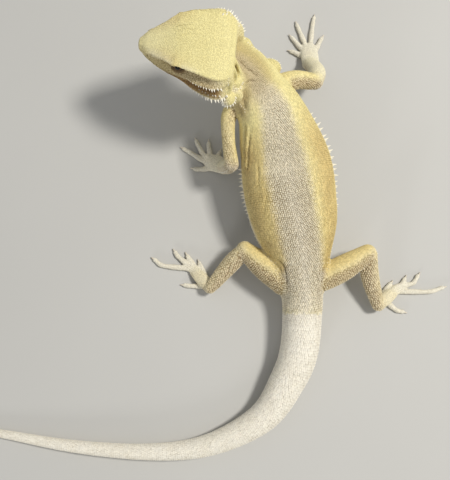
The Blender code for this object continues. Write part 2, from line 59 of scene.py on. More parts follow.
# ---------------------------------------------------------------- the body's lofts
# The spine, from inside the head to the tip of the tail: x, y and z of the middle of the widest
# line, half width, height above it, depth below it, and how far the ridge of the back leans.
SPINE = (
    (-4.0, 94.5, 72.0, 12.0, 9.0, 8.0, 0.0),
    (9.0, 93.5, 60.0, 14.5, 11.5, 13.0, 0.0),
    (18.5, 85.0, 48.0, 17.0, 14.0, 16.0, 0.0),
    (27.5, 73.0, 40.0, 21.0, 17.5, 20.0, -1.0),
    (33.5, 58.0, 33.0, 25.5, 22.5, 17.5, -3.0),
    (38.0, 42.0, 28.0, 28.5, 25.5, 16.5, -3.0),
    (41.0, 22.0, 25.0, 28.5, 24.5, 16.0, -2.0),
    (44.1, 4.0, 21.5, 26.0, 23.0, 15.0, -1.0),
    (47.0, -14.0, 17.0, 19.0, 20.0, 14.5, 0.0),
    (48.0, -30.0, 14.0, 14.0, 18.5, 14.4, 0.0),
    (48.6, -46.0, 12.3, 12.4, 14.8, 12.9, 0.0),
    (46.3, -71.0, 11.6, 12.0, 12.6, 12.2, 0.0),
    (39.1, -89.4, 10.6, 11.1, 11.4, 11.1, 0.0),
    (22.9, -112.5, 8.8, 9.2, 9.4, 9.2, 0.0),
    (-9.9, -129.1, 6.4, 6.8, 6.9, 6.8, 0.0),
    (-46.5, -133.6, 4.8, 5.1, 5.2, 5.1, 0.0),
    (-94.0, -130.6, 3.5, 3.8, 3.8, 3.8, 0.0),
    (-141.2, -123.0, 2.2, 2.5, 2.5, 2.5, 0.0),
    (-180.0, -117.0, 1.3, 1.6, 1.6, 1.6, 0.0),
    (-212.0, -114.0, 0.5, 0.7, 0.7, 0.7, 0.0),
)
SPINE_NODES = (("neck", 2.3), ("chest", 5.4), ("abdomen", 8.1), ("pelvis", 10.15),
               ("tail_1", 12.6), ("tail_2", 14.5), ("tail_3", 16.6), ("tail_4", 19.1))
BODY_POWER = 0.92

# The head in its own frame: x from the back of the skull to the snout, y to the left, z up.
HEAD_PLACE = np.array((2.5, 95.0, 75.0))
HEAD_TURN = 6.0
HEAD = (
    (-1.5, 17.2, 18.0, 19.6, 18.6, 22.0, 10.0, 2.4, 12.8),
    (3.0, 19.7, 20.8, 22.8, 21.2, 25.0, 11.5, 1.9, 14.0),
    (9.0, 19.8, 20.7, 23.2, 21.0, 25.0, 12.6, 1.6, 13.6),
    (18.0, 18.0, 17.0, 20.8, 18.8, 21.6, 13.0, 1.1, 12.0),
    (26.0, 15.4, 12.6, 16.6, 16.8, 16.6, 12.6, 0.8, 9.8),
    (33.0, 12.6, 11.6, 13.9, 14.8, 13.4, 10.9, 1.3, 8.0),
    (40.0, 9.2, 9.7, 11.1, 11.7, 10.0, 8.9, 1.7, 6.3),
    (46.0, 5.8, 6.8, 7.6, 7.8, 6.2, 7.0, 1.6, 4.8),
    (49.5, 3.0, 3.8, 4.2, 4.2, 3.4, 4.9, 1.2, 3.4),
)
HEAD_OUTLINE = (
    (0, 0.0, (1.0, 0.0, 0.0)), (0, 0.55, (1.0, -0.15, 0.0)), (0, 1.0, (1.0, -1.0, 0.0)),
    (1, 1.0, (0.62, 0.0, 0.0)), (2, 1.0, (0.28, 0.0, 0.0)), (3, 1.0, (-0.05, 0.0, 0.0)),
    (4, 1.0, (0.0, 0.0, -0.55)), (4, 0.55, (0.0, 0.0, -0.93)), (4, 0.0, (0.0, 0.0, -1.0)),
)
EYE_PLACE = (26.5, 11.2, 7.0)
EYE_RADIUS = 4.6
EAR_PLACE = (5.0, 21.4, -0.2)

LIMBS = {
    "upper_arm_left": ((12.0, 80.0, 41.0, 6.5, 7.0), (2.8, 72.0, 41.0, 5.0, 5.4),
                       (2.2, 56.0, 39.5, 4.2, 4.5), (4.2, 42.0, 36.0, 4.5, 4.6)),
    "forearm_left": ((4.0, 42.0, 35.0, 4.4, 4.4), (2.0, 43.5, 24.0, 4.8, 4.8),
                     (-1.0, 47.5, 9.0, 4.4, 4.2)),
    "hand_left": ((0.0, 46.8, 7.0, 4.6, 4.0), (-5.5, 50.6, 4.2, 6.2, 3.2),
                  (-11.5, 54.0, 1.8, 4.8, 2.3)),
    "upper_arm_right": ((28.0, 88.0, 40.0, 7.5, 8.5), (43.0, 95.6, 36.0, 6.0, 6.6),
                        (57.3, 97.6, 29.0, 5.2, 5.0)),
    "forearm_right": ((57.4, 98.2, 28.0, 5.2, 5.0), (60.0, 107.5, 20.0, 5.8, 5.4),
                      (58.2, 119.0, 8.0, 5.8, 4.2)),
    "hand_right": ((58.0, 118.5, 6.5, 6.0, 4.0), (57.6, 127.0, 4.0, 6.3, 3.1),
                   (57.2, 134.0, 1.8, 5.2, 2.3)),
    "thigh_left": ((38.0, -29.0, 16.0, 9.0, 11.0), (24.0, -18.5, 18.0, 8.2, 9.5),
                   (12.5, -9.0, 19.5, 5.6, 6.2)),
    "shin_left": ((12.0, -9.5, 19.0, 5.3, 5.6), (3.0, -18.0, 14.5, 5.5, 5.4),
                  (-9.5, -32.0, 7.5, 3.9, 3.9)),
    "foot_left": ((-9.5, -31.5, 6.0, 4.4, 3.8), (-15.6, -25.4, 4.2, 4.5, 3.2),
                  (-20.5, -20.5, 2.0, 3.4, 2.2)),
    "thigh_right": ((57.0, -28.5, 16.0, 8.0, 10.0), (73.0, -20.5, 18.0, 8.2, 9.5),
                    (89.0, -11.0, 19.5, 5.8, 6.2)),
    "shin_right": ((90.0, -12.0, 19.0, 5.4, 5.6), (91.5, -25.0, 14.0, 5.6, 5.4),
                   (97.5, -43.0, 7.5, 4.0, 3.9)),
    "foot_right": ((98.0, -42.5, 6.0, 4.6, 3.8), (105.4, -37.2, 4.2, 4.4, 3.2),
                   (110.5, -33.4, 2.0, 3.3, 2.2)),
}
# Root, middle and claw tip of each digit, from the first to the fifth, as x and y on the floor.
DIGITS = {
    "hand_left": (((-5.5, 53.0), (-3.7, 59.1), (-2.1, 62.5)),
                  ((-9.3, 55.5), (-11.1, 63.6), (-11.1, 68.7)),
                  ((-13.6, 56.5), (-17.9, 63.6), (-20.6, 70.0)),
                  ((-13.4, 52.6), (-22.1, 58.3), (-30.3, 63.1)),
                  ((-9.5, 47.8), (-17.8, 47.4), (-23.4, 48.4))),
    "hand_right": (((53.5, 126.5), (46.7, 130.3), (42.4, 131.6)),
                   ((54.0, 130.0), (47.8, 138.4), (43.8, 143.3)),
                   ((55.5, 134.0), (51.3, 145.5), (48.6, 153.1)),
                   ((58.9, 136.0), (60.5, 149.6), (62.3, 158.3)),
                   ((61.3, 129.0), (65.6, 138.4), (68.5, 143.1))),
    "foot_left": (((-13.8, -22.0), (-15.4, -18.4), (-18.0, -12.6)),
                  ((-19.5, -18.0), (-24.3, -11.4), (-26.2, -7.9)),
                  ((-22.5, -18.0), (-30.5, -11.4), (-34.4, -5.7)),
                  ((-23.0, -19.5), (-40.4, -17.1), (-48.7, -11.4)),
                  ((-13.4, -30.6), (-22.7, -30.3), (-29.4, -29.5))),
    "foot_right": (((103.6, -34.0), (105.8, -31.0), (109.8, -26.4)),
                   ((110.8, -33.4), (116.0, -27.8), (118.5, -23.0)),
                   ((111.6, -30.8), (121.8, -28.9), (127.6, -21.3)),
                   ((111.8, -34.2), (132.0, -34.1), (144.6, -30.6)),
                   ((104.5, -40.8), (110.5, -45.8), (118.1, -47.9))),
}
DIGIT_HEIGHTS = (2.9, 1.75, 1.4, 1.15)
DIGIT_RADII = (1.8, 1.9, 1.6, 1.4)
DIGIT_REACH = 0.5        # how far back from its root towards the ankle a digit's bones show
CLAW_LENGTH = 1.9
CLAW_RADIUS = 0.7
CLAW_TIP_HEIGHT = 0.4
# Swellings of loose skin, as place and radii: the flaps that hang behind the left of the jaw, then
# all of them with those of the right of the neck and the right shoulder.
LOBES = (
    ((7.6, 80.8, 68.2), (3.1, 3.0, 2.8)),
    ((1.9, 72.8, 65.6), (4.4, 4.9, 4.6)),
    ((6.4, 76.6, 61.0), (5.0, 4.6, 6.6)),
    ((4.5, 80.0, 66.0), (3.6, 3.6, 4.5)),
)
FOLDS = (
    ((6.0, 108.5, 71.0), (5.2, 7.5, 8.0)),
    ((10.5, 103.5, 62.0), (6.5, 7.2, 8.0)),
    ((26.0, 99.5, 45.0), (8.5, 6.0, 7.0)),
) + LOBES
# Loose folds that hang from the back of the head down the left of the neck: rows of x, y, z,
# half width and half height.
NECK_FOLDS = (
    ((3.4, 91.0, 82.8, 1.3, 1.4), (5.8, 88.8, 78.8, 1.2, 1.4), (7.8, 86.6, 74.2, 1.2, 1.4),
     (9.6, 82.6, 68.8, 1.5, 1.6)),
    ((3.6, 86.0, 81.8, 1.2, 1.4), (5.6, 83.6, 77.5, 1.1, 1.3), (6.8, 81.2, 69.5, 1.4, 1.6)),
    ((2.6, 82.5, 82.0, 1.2, 1.4), (3.8, 79.0, 79.0, 1.2, 1.4), (3.4, 76.3, 74.5, 1.3, 1.4),
     (2.0, 74.0, 69.0, 1.8, 1.8)),
)

# ---------------------------------------------------------------- numbers of the making
GRID_STEP = 1.0          # rings of a loft's grid along it
GRID_SIDES = 72
VOXEL = 0.55
SKIN_FACES = 186_000
JOIN_REACH = 4.0         # how far from where a leg leaves the body the skin is smoothed
JOIN_GAP = 1.5           # how near the spine's loft a leg's surface counts as leaving it
SOFTEN_ALL = (4, 0.5)    # rounds and weight of the skin's smoothing
SOFTEN_JOINS = (40, 0.6)
CAP_ANGLES = (14, 28, 42, 56, 70, 84)      # rings of a rounded end, in degrees
SNOUT_CAP = 1.6          # how far the rounded snout reaches past the first row
NAPE_CAP = 2.2
DIGIT_STEP = 0.6
KNUCKLES = 4
KNUCKLE_SWELL = 0.07
DEPTHS = {"spine": 0.42, "head": 0.34, "limb": 0.4, "digit": 0.2}


def unit(v):
    """Vectors of length one."""
    v = np.asarray(v, float)
    return v / np.maximum(np.linalg.norm(v, axis=-1, keepdims=True), 1e-12)


def smooth(low, high, x):
    """From 0 at low to 1 at high, without corners."""
    f = np.clip((np.asarray(x, float) - low) / (high - low), 0.0, 1.0)
    return f * f * (3 - 2 * f)


def spline(a, p, q, b, f):
    """The place at share f of the way from p to q, on the smooth curve through all four."""
    return 0.5 * (2 * p + (q - a) * f + (2 * a - 5 * p + 4 * q - b) * f ** 2
                  + (3 * p - a - 3 * q + b) * f ** 3)


def curve(rows, t):
    """The smooth curve through the rows at each t, where row 0 is at 0, row 1 at 1 and so on."""
    rows = np.asarray(rows, float)
    last = len(rows) - 1
    t = np.clip(np.asarray(t, float), 0.0, last)
    i = np.minimum(t.astype(int), last - 1)
    f = (t - i)[..., None]
    padded = np.concatenate(([2 * rows[0] - rows[1]], rows, [2 * rows[-1] - rows[-2]]))
    return spline(*(padded[i + k] for k in range(4)), f)


def even_steps(rows, pitch):
    """Values of t whose places lie pitch apart along the curve, and the length up to each."""
    fine = np.linspace(0, len(rows) - 1, 200 * len(rows))
    path = curve(rows, fine)[:, :3]
    run = np.concatenate(([0.0], np.cumsum(np.linalg.norm(np.diff(path, axis=0), axis=1))))
    count = max(2, round(run[-1] / pitch))
    return np.interp(np.linspace(0, run[-1], count + 1), run, fine)


class Loft:
    """Rings of points: along[i] rows by sides columns, from the back's middle over the left."""

    def __init__(self, name, kind, points, t):
        self.name = name
        self.kind = kind
        self.points = points
        self.t = t
        steps = np.linalg.norm(np.diff(points, axis=0), axis=2).mean(1)
        self.run = np.concatenate(([0.0], np.cumsum(steps)))
        wrapped = np.concatenate((points, points[:, :1]), 1)
        arcs = np.linalg.norm(np.diff(wrapped, axis=1), axis=2)
        self.arcs = np.concatenate((np.zeros((len(points), 1)), np.cumsum(arcs, 1)), 1)

    def at(self, i, j):
        """Places at rows i and columns j, which may lie between."""
        n, sides = self.points.shape[:2]
        i = np.clip(i, 0, n - 1.001)
        j = np.mod(j, sides)
        a, b = i.astype(int), np.minimum(j.astype(int), sides - 1)
        f, g = (i - a)[:, None], (j - b)[:, None]
        c = (b + 1) % sides
        low = self.points[a, b] * (1 - g) + self.points[a, c] * g
        high = self.points[a + 1, b] * (1 - g) + self.points[a + 1, c] * g
        return low * (1 - f) + high * f

    def mesh(self):
        """Vertices and faces, closed at both ends."""
        n, sides = self.points.shape[:2]
        index = np.arange(n * sides).reshape(n, sides)
        nxt = np.roll(index, -1, 1)
        quads = np.stack((index[:-1], nxt[:-1], nxt[1:], index[1:]), -1).reshape(-1, 4)
        ends = [tuple(index[0][::-1]), tuple(index[-1])]
        return self.points.reshape(-1, 3), [tuple(q) for q in quads.tolist()] + ends


def section_angles():
    """Angles round a loft from the middle of the back."""
    return np.linspace(0, 2 * math.pi, GRID_SIDES, endpoint=False)


def rounded(value, power):
    """A sine or cosine that makes an ellipse fuller or leaner."""
    return np.sign(value) * np.abs(value) ** power


def spine_loft(grow=0.0):
    """Neck, trunk and tail."""
    t = even_steps(SPINE, GRID_STEP)
    rows = curve(SPINE, t)
    tangent = unit(curve(SPINE, t + 0.02)[:, :3] - curve(SPINE, t - 0.02)[:, :3])
    left = unit(np.cross(tangent, UP))
    up = unit(np.cross(left, tangent))
    angles = section_angles()
    side, top = rounded(np.sin(angles), BODY_POWER), rounded(np.cos(angles), BODY_POWER)
    thick = np.minimum(rows[:, 3:4], 6.0) / 6.0
    half, rise, drop = (rows[:, k:k + 1] + grow * thick for k in (3, 4, 5))
    height = np.where(top > 0, rise * top, drop * top)
    across = half * side - rows[:, 6:7] * np.maximum(top, 0) ** 2
    points = (rows[:, None, :3] + left[:, None] * across[..., None]
              + up[:, None] * height[..., None])
    return Loft("spine", "spine", points, t)


def head_axes():
    """The head's own forward, left and up."""
    turn = math.radians(HEAD_TURN)
    forward = np.array((-math.cos(turn), math.sin(turn), 0.0))
    return forward, np.cross(UP, forward), UP


def head_point(p):
    """Points of the head's frame as points of the model."""
    forward, left, up = head_axes()
    p = np.asarray(p, float)
    return HEAD_PLACE + p[..., :1] * forward + p[..., 1:2] * left + p[..., 2:3] * up


def head_place(points):
    """Points of the model as points of the head's frame."""
    return (points - HEAD_PLACE) @ np.stack(head_axes()).T


def head_section(x):
    """Half widths and heights of the head's outline at each x, as closed rings."""
    rows = curve(HEAD, np.interp(x, [row[0] for row in HEAD], range(len(HEAD))))
    half = np.stack([np.stack((rows[:, 1 + k] * share, rows[:, 6:] @ np.array(parts)), -1)
                     for k, share, parts in HEAD_OUTLINE], 1)
    other = half[:, -2:0:-1] * (-1, 1)
    outline = np.concatenate((half, other), 1)
    n = outline.shape[1]
    u = np.linspace(0, n, 8 * n, endpoint=False)
    i = u.astype(int)
    return spline(*(outline[:, (i + k) % n] for k in (-1, 0, 1, 2)), (u - i)[None, :, None])


def even_ring(ring, sides):
    """The same ring with its points an equal way apart, starting at the same place."""
    closed = np.concatenate((ring, ring[:1]))
    run = np.concatenate(([0.0], np.cumsum(np.linalg.norm(np.diff(closed, axis=0), axis=1))))
    want = np.linspace(0, run[-1], sides, endpoint=False)
    return np.stack([np.interp(want, run, closed[:, k]) for k in range(closed.shape[1])], -1)


def head_loft(grow=0.0):
    """Skull, jaw and throat, from the snout backwards."""
    start, end = HEAD[-1][0], HEAD[0][0]
    x = np.linspace(start, end, round((start - end) / GRID_STEP) + 1)
    rings = [even_ring(ring, GRID_SIDES) for ring in head_section(x)]
    rows, places = [], []
    for angle in CAP_ANGLES[::-1]:
        a = math.radians(angle)
        middle = np.array((0.0, 0.6))
        rows.append((rings[0] - middle) * math.cos(a) ** 0.8 + middle)
        places.append(start + SNOUT_CAP * math.sin(a))
    rows += rings
    places += list(x)
    for angle in (15, 32, 50, 66):
        a = math.radians(angle)
        rows.append(rings[-1] * (0.55 + 0.45 * math.cos(a)))
        places.append(end - NAPE_CAP * math.sin(a))
    rows = np.array(rows)
    size = np.linalg.norm(rows, axis=2, keepdims=True)
    rows = rows * (1 + grow / np.maximum(size, 1.0))
    points = np.concatenate((np.array(places)[:, None, None] * np.ones(rows.shape[:2] + (1,)),
                             rows), 2)
    return Loft("head", "head", head_point(points), np.array(places))


def tube_loft(name, kind, rows, grow=0.0, step=GRID_STEP, bumps=0):
    """A limb length or a digit, with rounded ends."""
    rows = np.asarray(rows, float)
    t = even_steps(rows, step)
    body = curve(rows, t)
    if bumps:
        swell = 1 + KNUCKLE_SWELL * np.cos(2 * math.pi * bumps * t / t[-1])
        body[:, 3:] *= swell[:, None]
    body[:, 3:] += grow
    caps = []
    for row, inner in ((body[0], body[1]), (body[-1], body[-2])):
        outward = unit(row[:3] - inner[:3])
        reach = min(row[3], row[4])
        cap = []
        for angle in CAP_ANGLES:
            a = math.radians(angle)
            cap.append(np.concatenate((row[:3] + outward * reach * math.sin(a),
                                       row[3:] * math.cos(a))))
        caps.append(cap)
    body = np.array(caps[0][::-1] + list(body) + caps[1])
    tangent = unit(np.gradient(body[:, :3], axis=0))
    left = unit(np.cross(tangent[0], UP))
    angles = section_angles()
    points = []
    for row, along in zip(body, tangent):
        left = unit(left - along * left.dot(along))
        up = np.cross(left, along)
        ring = (row[:3] + np.outer(np.sin(angles), left) * row[3]
                + np.outer(np.cos(angles), up) * row[4])
        points.append(ring)
    t = np.concatenate((np.zeros(len(CAP_ANGLES)), t / t[-1], np.ones(len(CAP_ANGLES))))
    return Loft(name, kind, np.array(points), t)


def digit_rows(ankle, root, middle, tip):
    """Rows along one digit from inside the foot, stopping where its claw begins."""
    ankle, root, middle, tip = (np.array((*p[:2], 0.0)) for p in (ankle, root, middle, tip))
    start = root + (ankle - root) * DIGIT_REACH
    end = tip + unit(middle - tip) * (CLAW_LENGTH + DIGIT_RADII[-1])
    return [(p[0], p[1], height, radius, radius)
            for p, height, radius in zip((start, root, middle, end), DIGIT_HEIGHTS, DIGIT_RADII)]


def all_lofts(inside):
    """Every loft, as far inside the solids as the coat is deep, or at their surface."""
    def grow(kind):
        return -DEPTHS[kind] * inside
    lofts = [spine_loft(grow("spine")), head_loft(grow("head"))]
    for name, rows in LIMBS.items():
        lofts.append(tube_loft(name, "limb", rows, grow("limb")))
    for name, digits in DIGITS.items():
        for number, (root, middle, tip) in enumerate(digits, 1):
            rows = digit_rows(LIMBS[name][0], root, middle, tip)
            lofts.append(tube_loft(f"{name}_{number}", "digit", rows, grow("digit"),
                                   step=DIGIT_STEP, bumps=KNUCKLES))
    for number, rows in enumerate(NECK_FOLDS):
        lofts.append(tube_loft(f"neck_fold_{number}", "limb", rows, grow("limb")))
    return lofts


def ball_mesh(place, radii, sides=32, rings=20):
    """An ellipsoid's vertices and faces."""
    angles = np.linspace(0, math.pi, rings + 1)[1:-1]
    turns = np.linspace(0, 2 * math.pi, sides, endpoint=False)
    body = np.stack([np.stack((np.sin(a) * np.cos(turns), np.sin(a) * np.sin(turns),
                               np.full(sides, math.cos(a))), -1) for a in angles])
    verts = np.concatenate((body.reshape(-1, 3), ((0, 0, 1), (0, 0, -1))))
    index = np.arange(len(body) * sides).reshape(-1, sides)
    nxt = np.roll(index, -1, 1)
    faces = [tuple(q) for q in
             np.stack((index[:-1], index[1:], nxt[1:], nxt[:-1]), -1).reshape(-1, 4).tolist()]
    top, bottom = len(verts) - 2, len(verts) - 1
    faces += [(top, int(a), int(b)) for a, b in zip(index[0], nxt[0])]
    faces += [(bottom, int(b), int(a)) for a, b in zip(index[-1], nxt[-1])]
    return verts * np.asarray(radii) + np.asarray(place), faces


def to_world(points):
    """World places of points in millimetres, flattened where they would go under the floor."""
    world = np.asarray(points, float) * MM + SHIFT
    world[..., 2] = np.maximum(world[..., 2], 0.0)
    return world


def linked(name, data):
    """A new object in the scene, holding this data."""
    thing = bpy.data.objects.new(name, data)
    bpy.context.scene.collection.objects.link(thing)
    return thing


def mesh_object(name, points, faces):
    """An object from points in millimetres."""
    data = bpy.data.meshes.new(name)
    data.from_pydata(to_world(points).tolist(), [], faces)
    return linked(name, data)


def eye_centre(side):
    """The middle of an eyeball: side is 1 on the left and -1 on the right."""
    x, y, z = EYE_PLACE
    return head_point((x, y * side, z))


eye_low, eye_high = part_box("eye_left")
SHIFT = np.array((eye_low + eye_high) / 2) - eye_centre(1) * MM
SHIFT[2] = 0.0


# ---------------------------------------------------------------- the skin
def evaluated(thing):
    """The object's mesh with its modifiers applied."""
    graph = bpy.context.evaluated_depsgraph_get()
    data = bpy.data.meshes.new_from_object(thing.evaluated_get(graph), depsgraph=graph)
    old = thing.data
    thing.modifiers.clear()
    thing.data = data
    bpy.data.meshes.remove(old)
    return thing


def read(data, part, name, size, kind=np.float32):
    """One attribute of a mesh as an array."""
    found = np.empty(len(getattr(data, part)) * size, kind)
    getattr(data, part).foreach_get(name, found)
    return found.reshape(-1, size) if size > 1 else found


def relax(points, edges, rounds, weight):
    """Move each point towards the middle of its neighbours."""
    a, b = edges[:, 0], edges[:, 1]
    count = len(points)
    degree = np.maximum(np.bincount(a, minlength=count) + np.bincount(b, minlength=count), 1)
    for _ in range(rounds):
        mean = np.stack([np.bincount(a, points[b, k], count) + np.bincount(b, points[a, k], count)
                         for k in range(points.shape[1])], -1) / degree[:, None]
        points = points + (mean - points) * weight
    return points


def kd_of(points):
    """A search tree of points."""
    tree = KDTree(len(points))
    for i, p in enumerate(points.tolist()):
        tree.insert(p, i)
    tree.balance()
    return tree


def nearest(tree, points):
    """For each point, the index of the nearest in the tree, and how far it is."""
    found = [tree.find(p)[1:] for p in points.tolist()]
    return np.array([f[0] for f in found]), np.array([f[1] for f in found])


def join_points(lofts):
    """Where legs and swellings leave the body."""
    spine = next(loft for loft in lofts if loft.name == "spine")
    tree = kd_of(spine.points[::2, ::2].reshape(-1, 3))
    found = []
    for loft in lofts:
        if loft.kind == "limb" and loft.name.startswith(("upper", "thigh")):
            points = loft.points[::2, ::3].reshape(-1, 3)
            found.append(points[nearest(tree, points)[1] < JOIN_GAP])
    for place, radii in FOLDS:
        points = ball_mesh(place, np.array(radii))[0]
        found.append(points[nearest(tree, points)[1] < JOIN_GAP])
    return np.concatenate(found)


def base_skin(lofts):
    """All lofts and swellings in one closed skin, smoothed."""
    points, faces, count = [], [], 0
    shapes = [loft.mesh() for loft in lofts]
    for place, radii in FOLDS:
        shapes.append(ball_mesh(place, np.array(radii) - DEPTHS["spine"]))
    for side in (1, -1):
        shapes.append(ball_mesh(eye_centre(side), [EYE_RADIUS + LID_DEPTH] * 3))
    for p, f in shapes:
        points.append(p)
        faces += [tuple(k + count for k in face) for face in f]
        count += len(p)
    thing = mesh_object("skin", np.concatenate(points), faces)
    remesh = thing.modifiers.new("join", "REMESH")
    remesh.mode = "VOXEL"
    remesh.voxel_size = VOXEL * MM
    evaluated(thing)
    points = (read(thing.data, "vertices", "co", 3) - SHIFT) / MM
    edges = read(thing.data, "edges", "vertices", 2, np.int32)
    points = relax(points, edges, *SOFTEN_ALL)
    gap = nearest(kd_of(join_points(lofts)), points)[1]
    rounds, most = SOFTEN_JOINS
    weight = most * (1 - smooth(JOIN_REACH * 0.4, JOIN_REACH, gap))
    return thing, relax(points, edges, rounds, weight[:, None])


# ---------------------------------------------------------------- folds, lids, lips and nostrils
# Folds of the left flank and neck, as places near the skin: path, depth and half width.
CREASES = (
    (((12.5, 65.6, 48.0), (13.2, 57.3, 45.0), (12.7, 48.9, 42.0), (10.9, 40.1, 40.0),
      (9.6, 35.0, 37.0)), 1.6, 0.95),
    (((15.6, 58.0, 48.0), (16.6, 50.0, 45.0), (16.0, 41.0, 42.0), (14.2, 35.0, 38.0)), 0.7, 0.8),
    (((20.0, 40.0, 48.0), (20.8, 33.0, 46.0), (21.4, 25.0, 43.0)), 0.35, 0.9),
    (((24.5, 26.0, 46.0), (25.4, 18.0, 43.0), (25.4, 11.0, 38.0)), 0.28, 0.9),
    (((-31.0, 104.5, 90.0), (-24.0, 106.0, 90.0), (-16.0, 105.5, 90.0)), 0.25, 0.4),
    (((-29.0, 102.4, 90.0), (-22.0, 103.4, 90.0), (-13.0, 102.6, 90.0)), 0.22, 0.4),
    (((-27.0, 99.6, 90.0), (-21.0, 100.6, 90.0), (-15.0, 100.0, 90.0)), 0.2, 0.4),
    (((6.4, 93.1, 75.3), (11.3, 89.0, 71.4), (15.5, 87.4, 67.1), (19.5, 85.4, 63.5)), 0.75, 1.1),
    (((11.0, 81.6, 64.4), (14.5, 83.4, 64.8), (18.3, 83.3, 63.4)), 0.5, 0.6),
    (((9.0, 80.0, 62.0), (10.5, 75.0, 57.0), (10.8, 69.0, 52.5)), 1.3, 2.0),
    (((5.0, 75.6, 55.0), (7.0, 71.0, 52.0), (8.5, 66.5, 49.0)), 0.7, 1.6),
    (((64.0, -18.0, 30.0), (62.0, -24.0, 32.0), (60.0, -32.0, 28.0)), 0.6, 1.0),
    (((33.0, -14.0, 30.0), (35.0, -22.0, 32.0), (37.5, -32.0, 28.0)), 0.6, 1.0),
)
EYE_AIM = (0.10, 0.92, 0.36)       # the way the left eye looks, in the head's frame
LID_OPENING = (4.2, 2.75)          # half its length and half its height
LID_DEPTH = 0.75                   # how far the lids lie over the eyeball
LID_RIM = 0.3
LID_RINGS = ((1.14, 25), (1.42, 31), (1.7, 36))   # rings of scales: share of the opening, count
LID_SCALE_ROOM = 0.45
EYE_PATCH = 7.0                    # how far from an eye's middle the skin's faces are finer
LID_DROP = 0.6                     # how far the opening's middle lies under the eyeball's
SOCKET_DEPTH = 1.2                 # how far inside the eyeball's surface the skin goes
NOSTRIL = (44.8, 4.1)              # x and z on the head's side
NOSTRIL_PIT = (1.1, 0.62)          # depth and radius
NOSTRIL_RIM = (0.4, 1.25, 0.45)    # height, distance from the middle, and width
EAR_OPENING = (2.1, 2.5)
EAR_DEPTH = 1.5
EAR_SHOULDER = 1.3                 # how far out the hollow round an ear reaches, as a share
EAR_OFF = 4                        # how far off an ear's plane the skin is still pushed in
MOUTH_GROOVE = (0.55, 0.42)        # depth and width
LIP = 0.3
MOUTH = ((50.4, -0.2), (48.0, -0.3), (44.0, -0.5), (38.0, -0.8), (31.0, -0.9), (24.0, -0.3),
         (18.0, 0.4), (14.5, -0.2), (12.5, -1.8))       # x and z of the line between the lips
# Along the edge of the crown: x, and how far the ridge stands out; and under it, the hollow.
RIDGE = ((44.0, 0.1), (38.0, 0.5), (33.0, 1.4), (27.0, 1.8), (22.0, 1.7), (17.0, 1.0), (10.0, 0.6),
         (4.0, 0.7), (-0.5, 0.6))
RIDGE_WIDTH = 1.25
HOLLOW = ((37.0, 5.6), (33.0, 7.0), (31.0, 7.6))
TEMPLE = ((20.5, 8.2), (17.0, 8.6), (12.0, 8.4), (7.0, 7.6))
CHEEK_EDGE = ((22.0, 3.9), (17.0, 3.8), (11.0, 3.8), (5.0, 3.8), (0.0, 3.8))
JAW_SHADE = ((26.0, -2.6), (18.0, -1.6), (11.0, -1.0), (5.0, -0.8))
SIDE_PRESSES = ((HOLLOW, 1.0, 1.7), (TEMPLE, 0.8, 2.2), (CHEEK_EDGE, -0.7, 0.9),
                (JAW_SHADE, 0.7, 1.6))           # path, depth and width


def by_line(points, path):
    """How far each point is from a line, and how far along the line its nearest place is."""
    best, share = np.full(len(points), 1e9), np.zeros(len(points))
    for k, (a, b) in enumerate(zip(path, path[1:])):
        ab = b - a
        f = np.clip(((points - a) @ ab) / (ab @ ab), 0, 1)
        away = np.linalg.norm(points - a - f[:, None] * ab, axis=1)
        nearer = away < best
        best[nearer] = away[nearer]
        share[nearer] = (k + f[nearer]) / (len(path) - 1)
    return best, share


def press(points, normals, path, depth, width, shoulders=0.45):
    """Push the skin in along a line and up beside it, fading out at the line's ends."""
    fine = curve(path, np.linspace(0, len(path) - 1, 6 * len(path)))
    near = np.all((points > fine.min(0) - 8) & (points < fine.max(0) + 8), axis=1).nonzero()[0]
    some = points[near]
    fine = some[nearest(kd_of(some), fine)[0]]
    away, share = by_line(some, fine)
    fade = smooth(0, 0.2, share) * smooth(0, 0.2, 1 - share)
    push = (shoulders * np.exp(-((away - 2.1 * width) / width) ** 2)
            - np.exp(-(away / width) ** 2)) * depth * fade
    points[near] = some + normals[near] * push[:, None]


def head_side(x, z, side):
    """The place on the head's side at x and height z."""
    ring = head_section(np.array([x]))[0]
    ring = ring[:len(ring) // 2 + 1]
    y = np.interp(-z, -ring[:, 1], ring[:, 0])
    return head_point((x, y * side, z))


def side_line(path, side):
    """Places on the head's side, for rows of x and z."""
    return np.array([head_side(x, z, side) for x, z in path])


def crown_edge(x, side):
    """The place on the edge between the head's crown and its side."""
    xs = [row[0] for row in HEAD]
    half, top, sag = (np.interp(x, xs, [row[k] for row in HEAD]) for k in (1, 6, 7))
    return head_point((x, half * side, top - sag))


def raise_ridge(points, ridge, heights, side):
    """Push the crown's edge outwards and a little up, by a height for each of its places."""
    away, share = by_line(points, curve(ridge, np.linspace(0, len(ridge) - 1, 40)))
    height = np.interp(share * (len(heights) - 1), range(len(heights)), heights)
    way = unit(head_axes()[1] * side * 0.9 + UP * 0.45)
    points += way * (height * np.exp(-(away / RIDGE_WIDTH) ** 2))[:, None]


def eye_frame(side):
    """The way an eye looks, its length and its height, in the model's frame."""
    forward, left, up = head_axes()
    x, y, z = EYE_AIM
    out = unit(forward * x + left * y * side + up * z)
    along = unit(forward - out * out.dot(forward))
    return out, along, np.cross(along, out) * side


def lid_measure(a, b):
    """1 on the lids' edge, less inside the opening, for places along and up from its middle."""
    length, height = LID_OPENING
    arch = np.maximum(1 - (np.abs(a) / length) ** 2.2, 1e-3)
    return np.abs(b + LID_DROP) / (height * arch) + smooth(0.9, 1.0, np.abs(a) / length) * 5


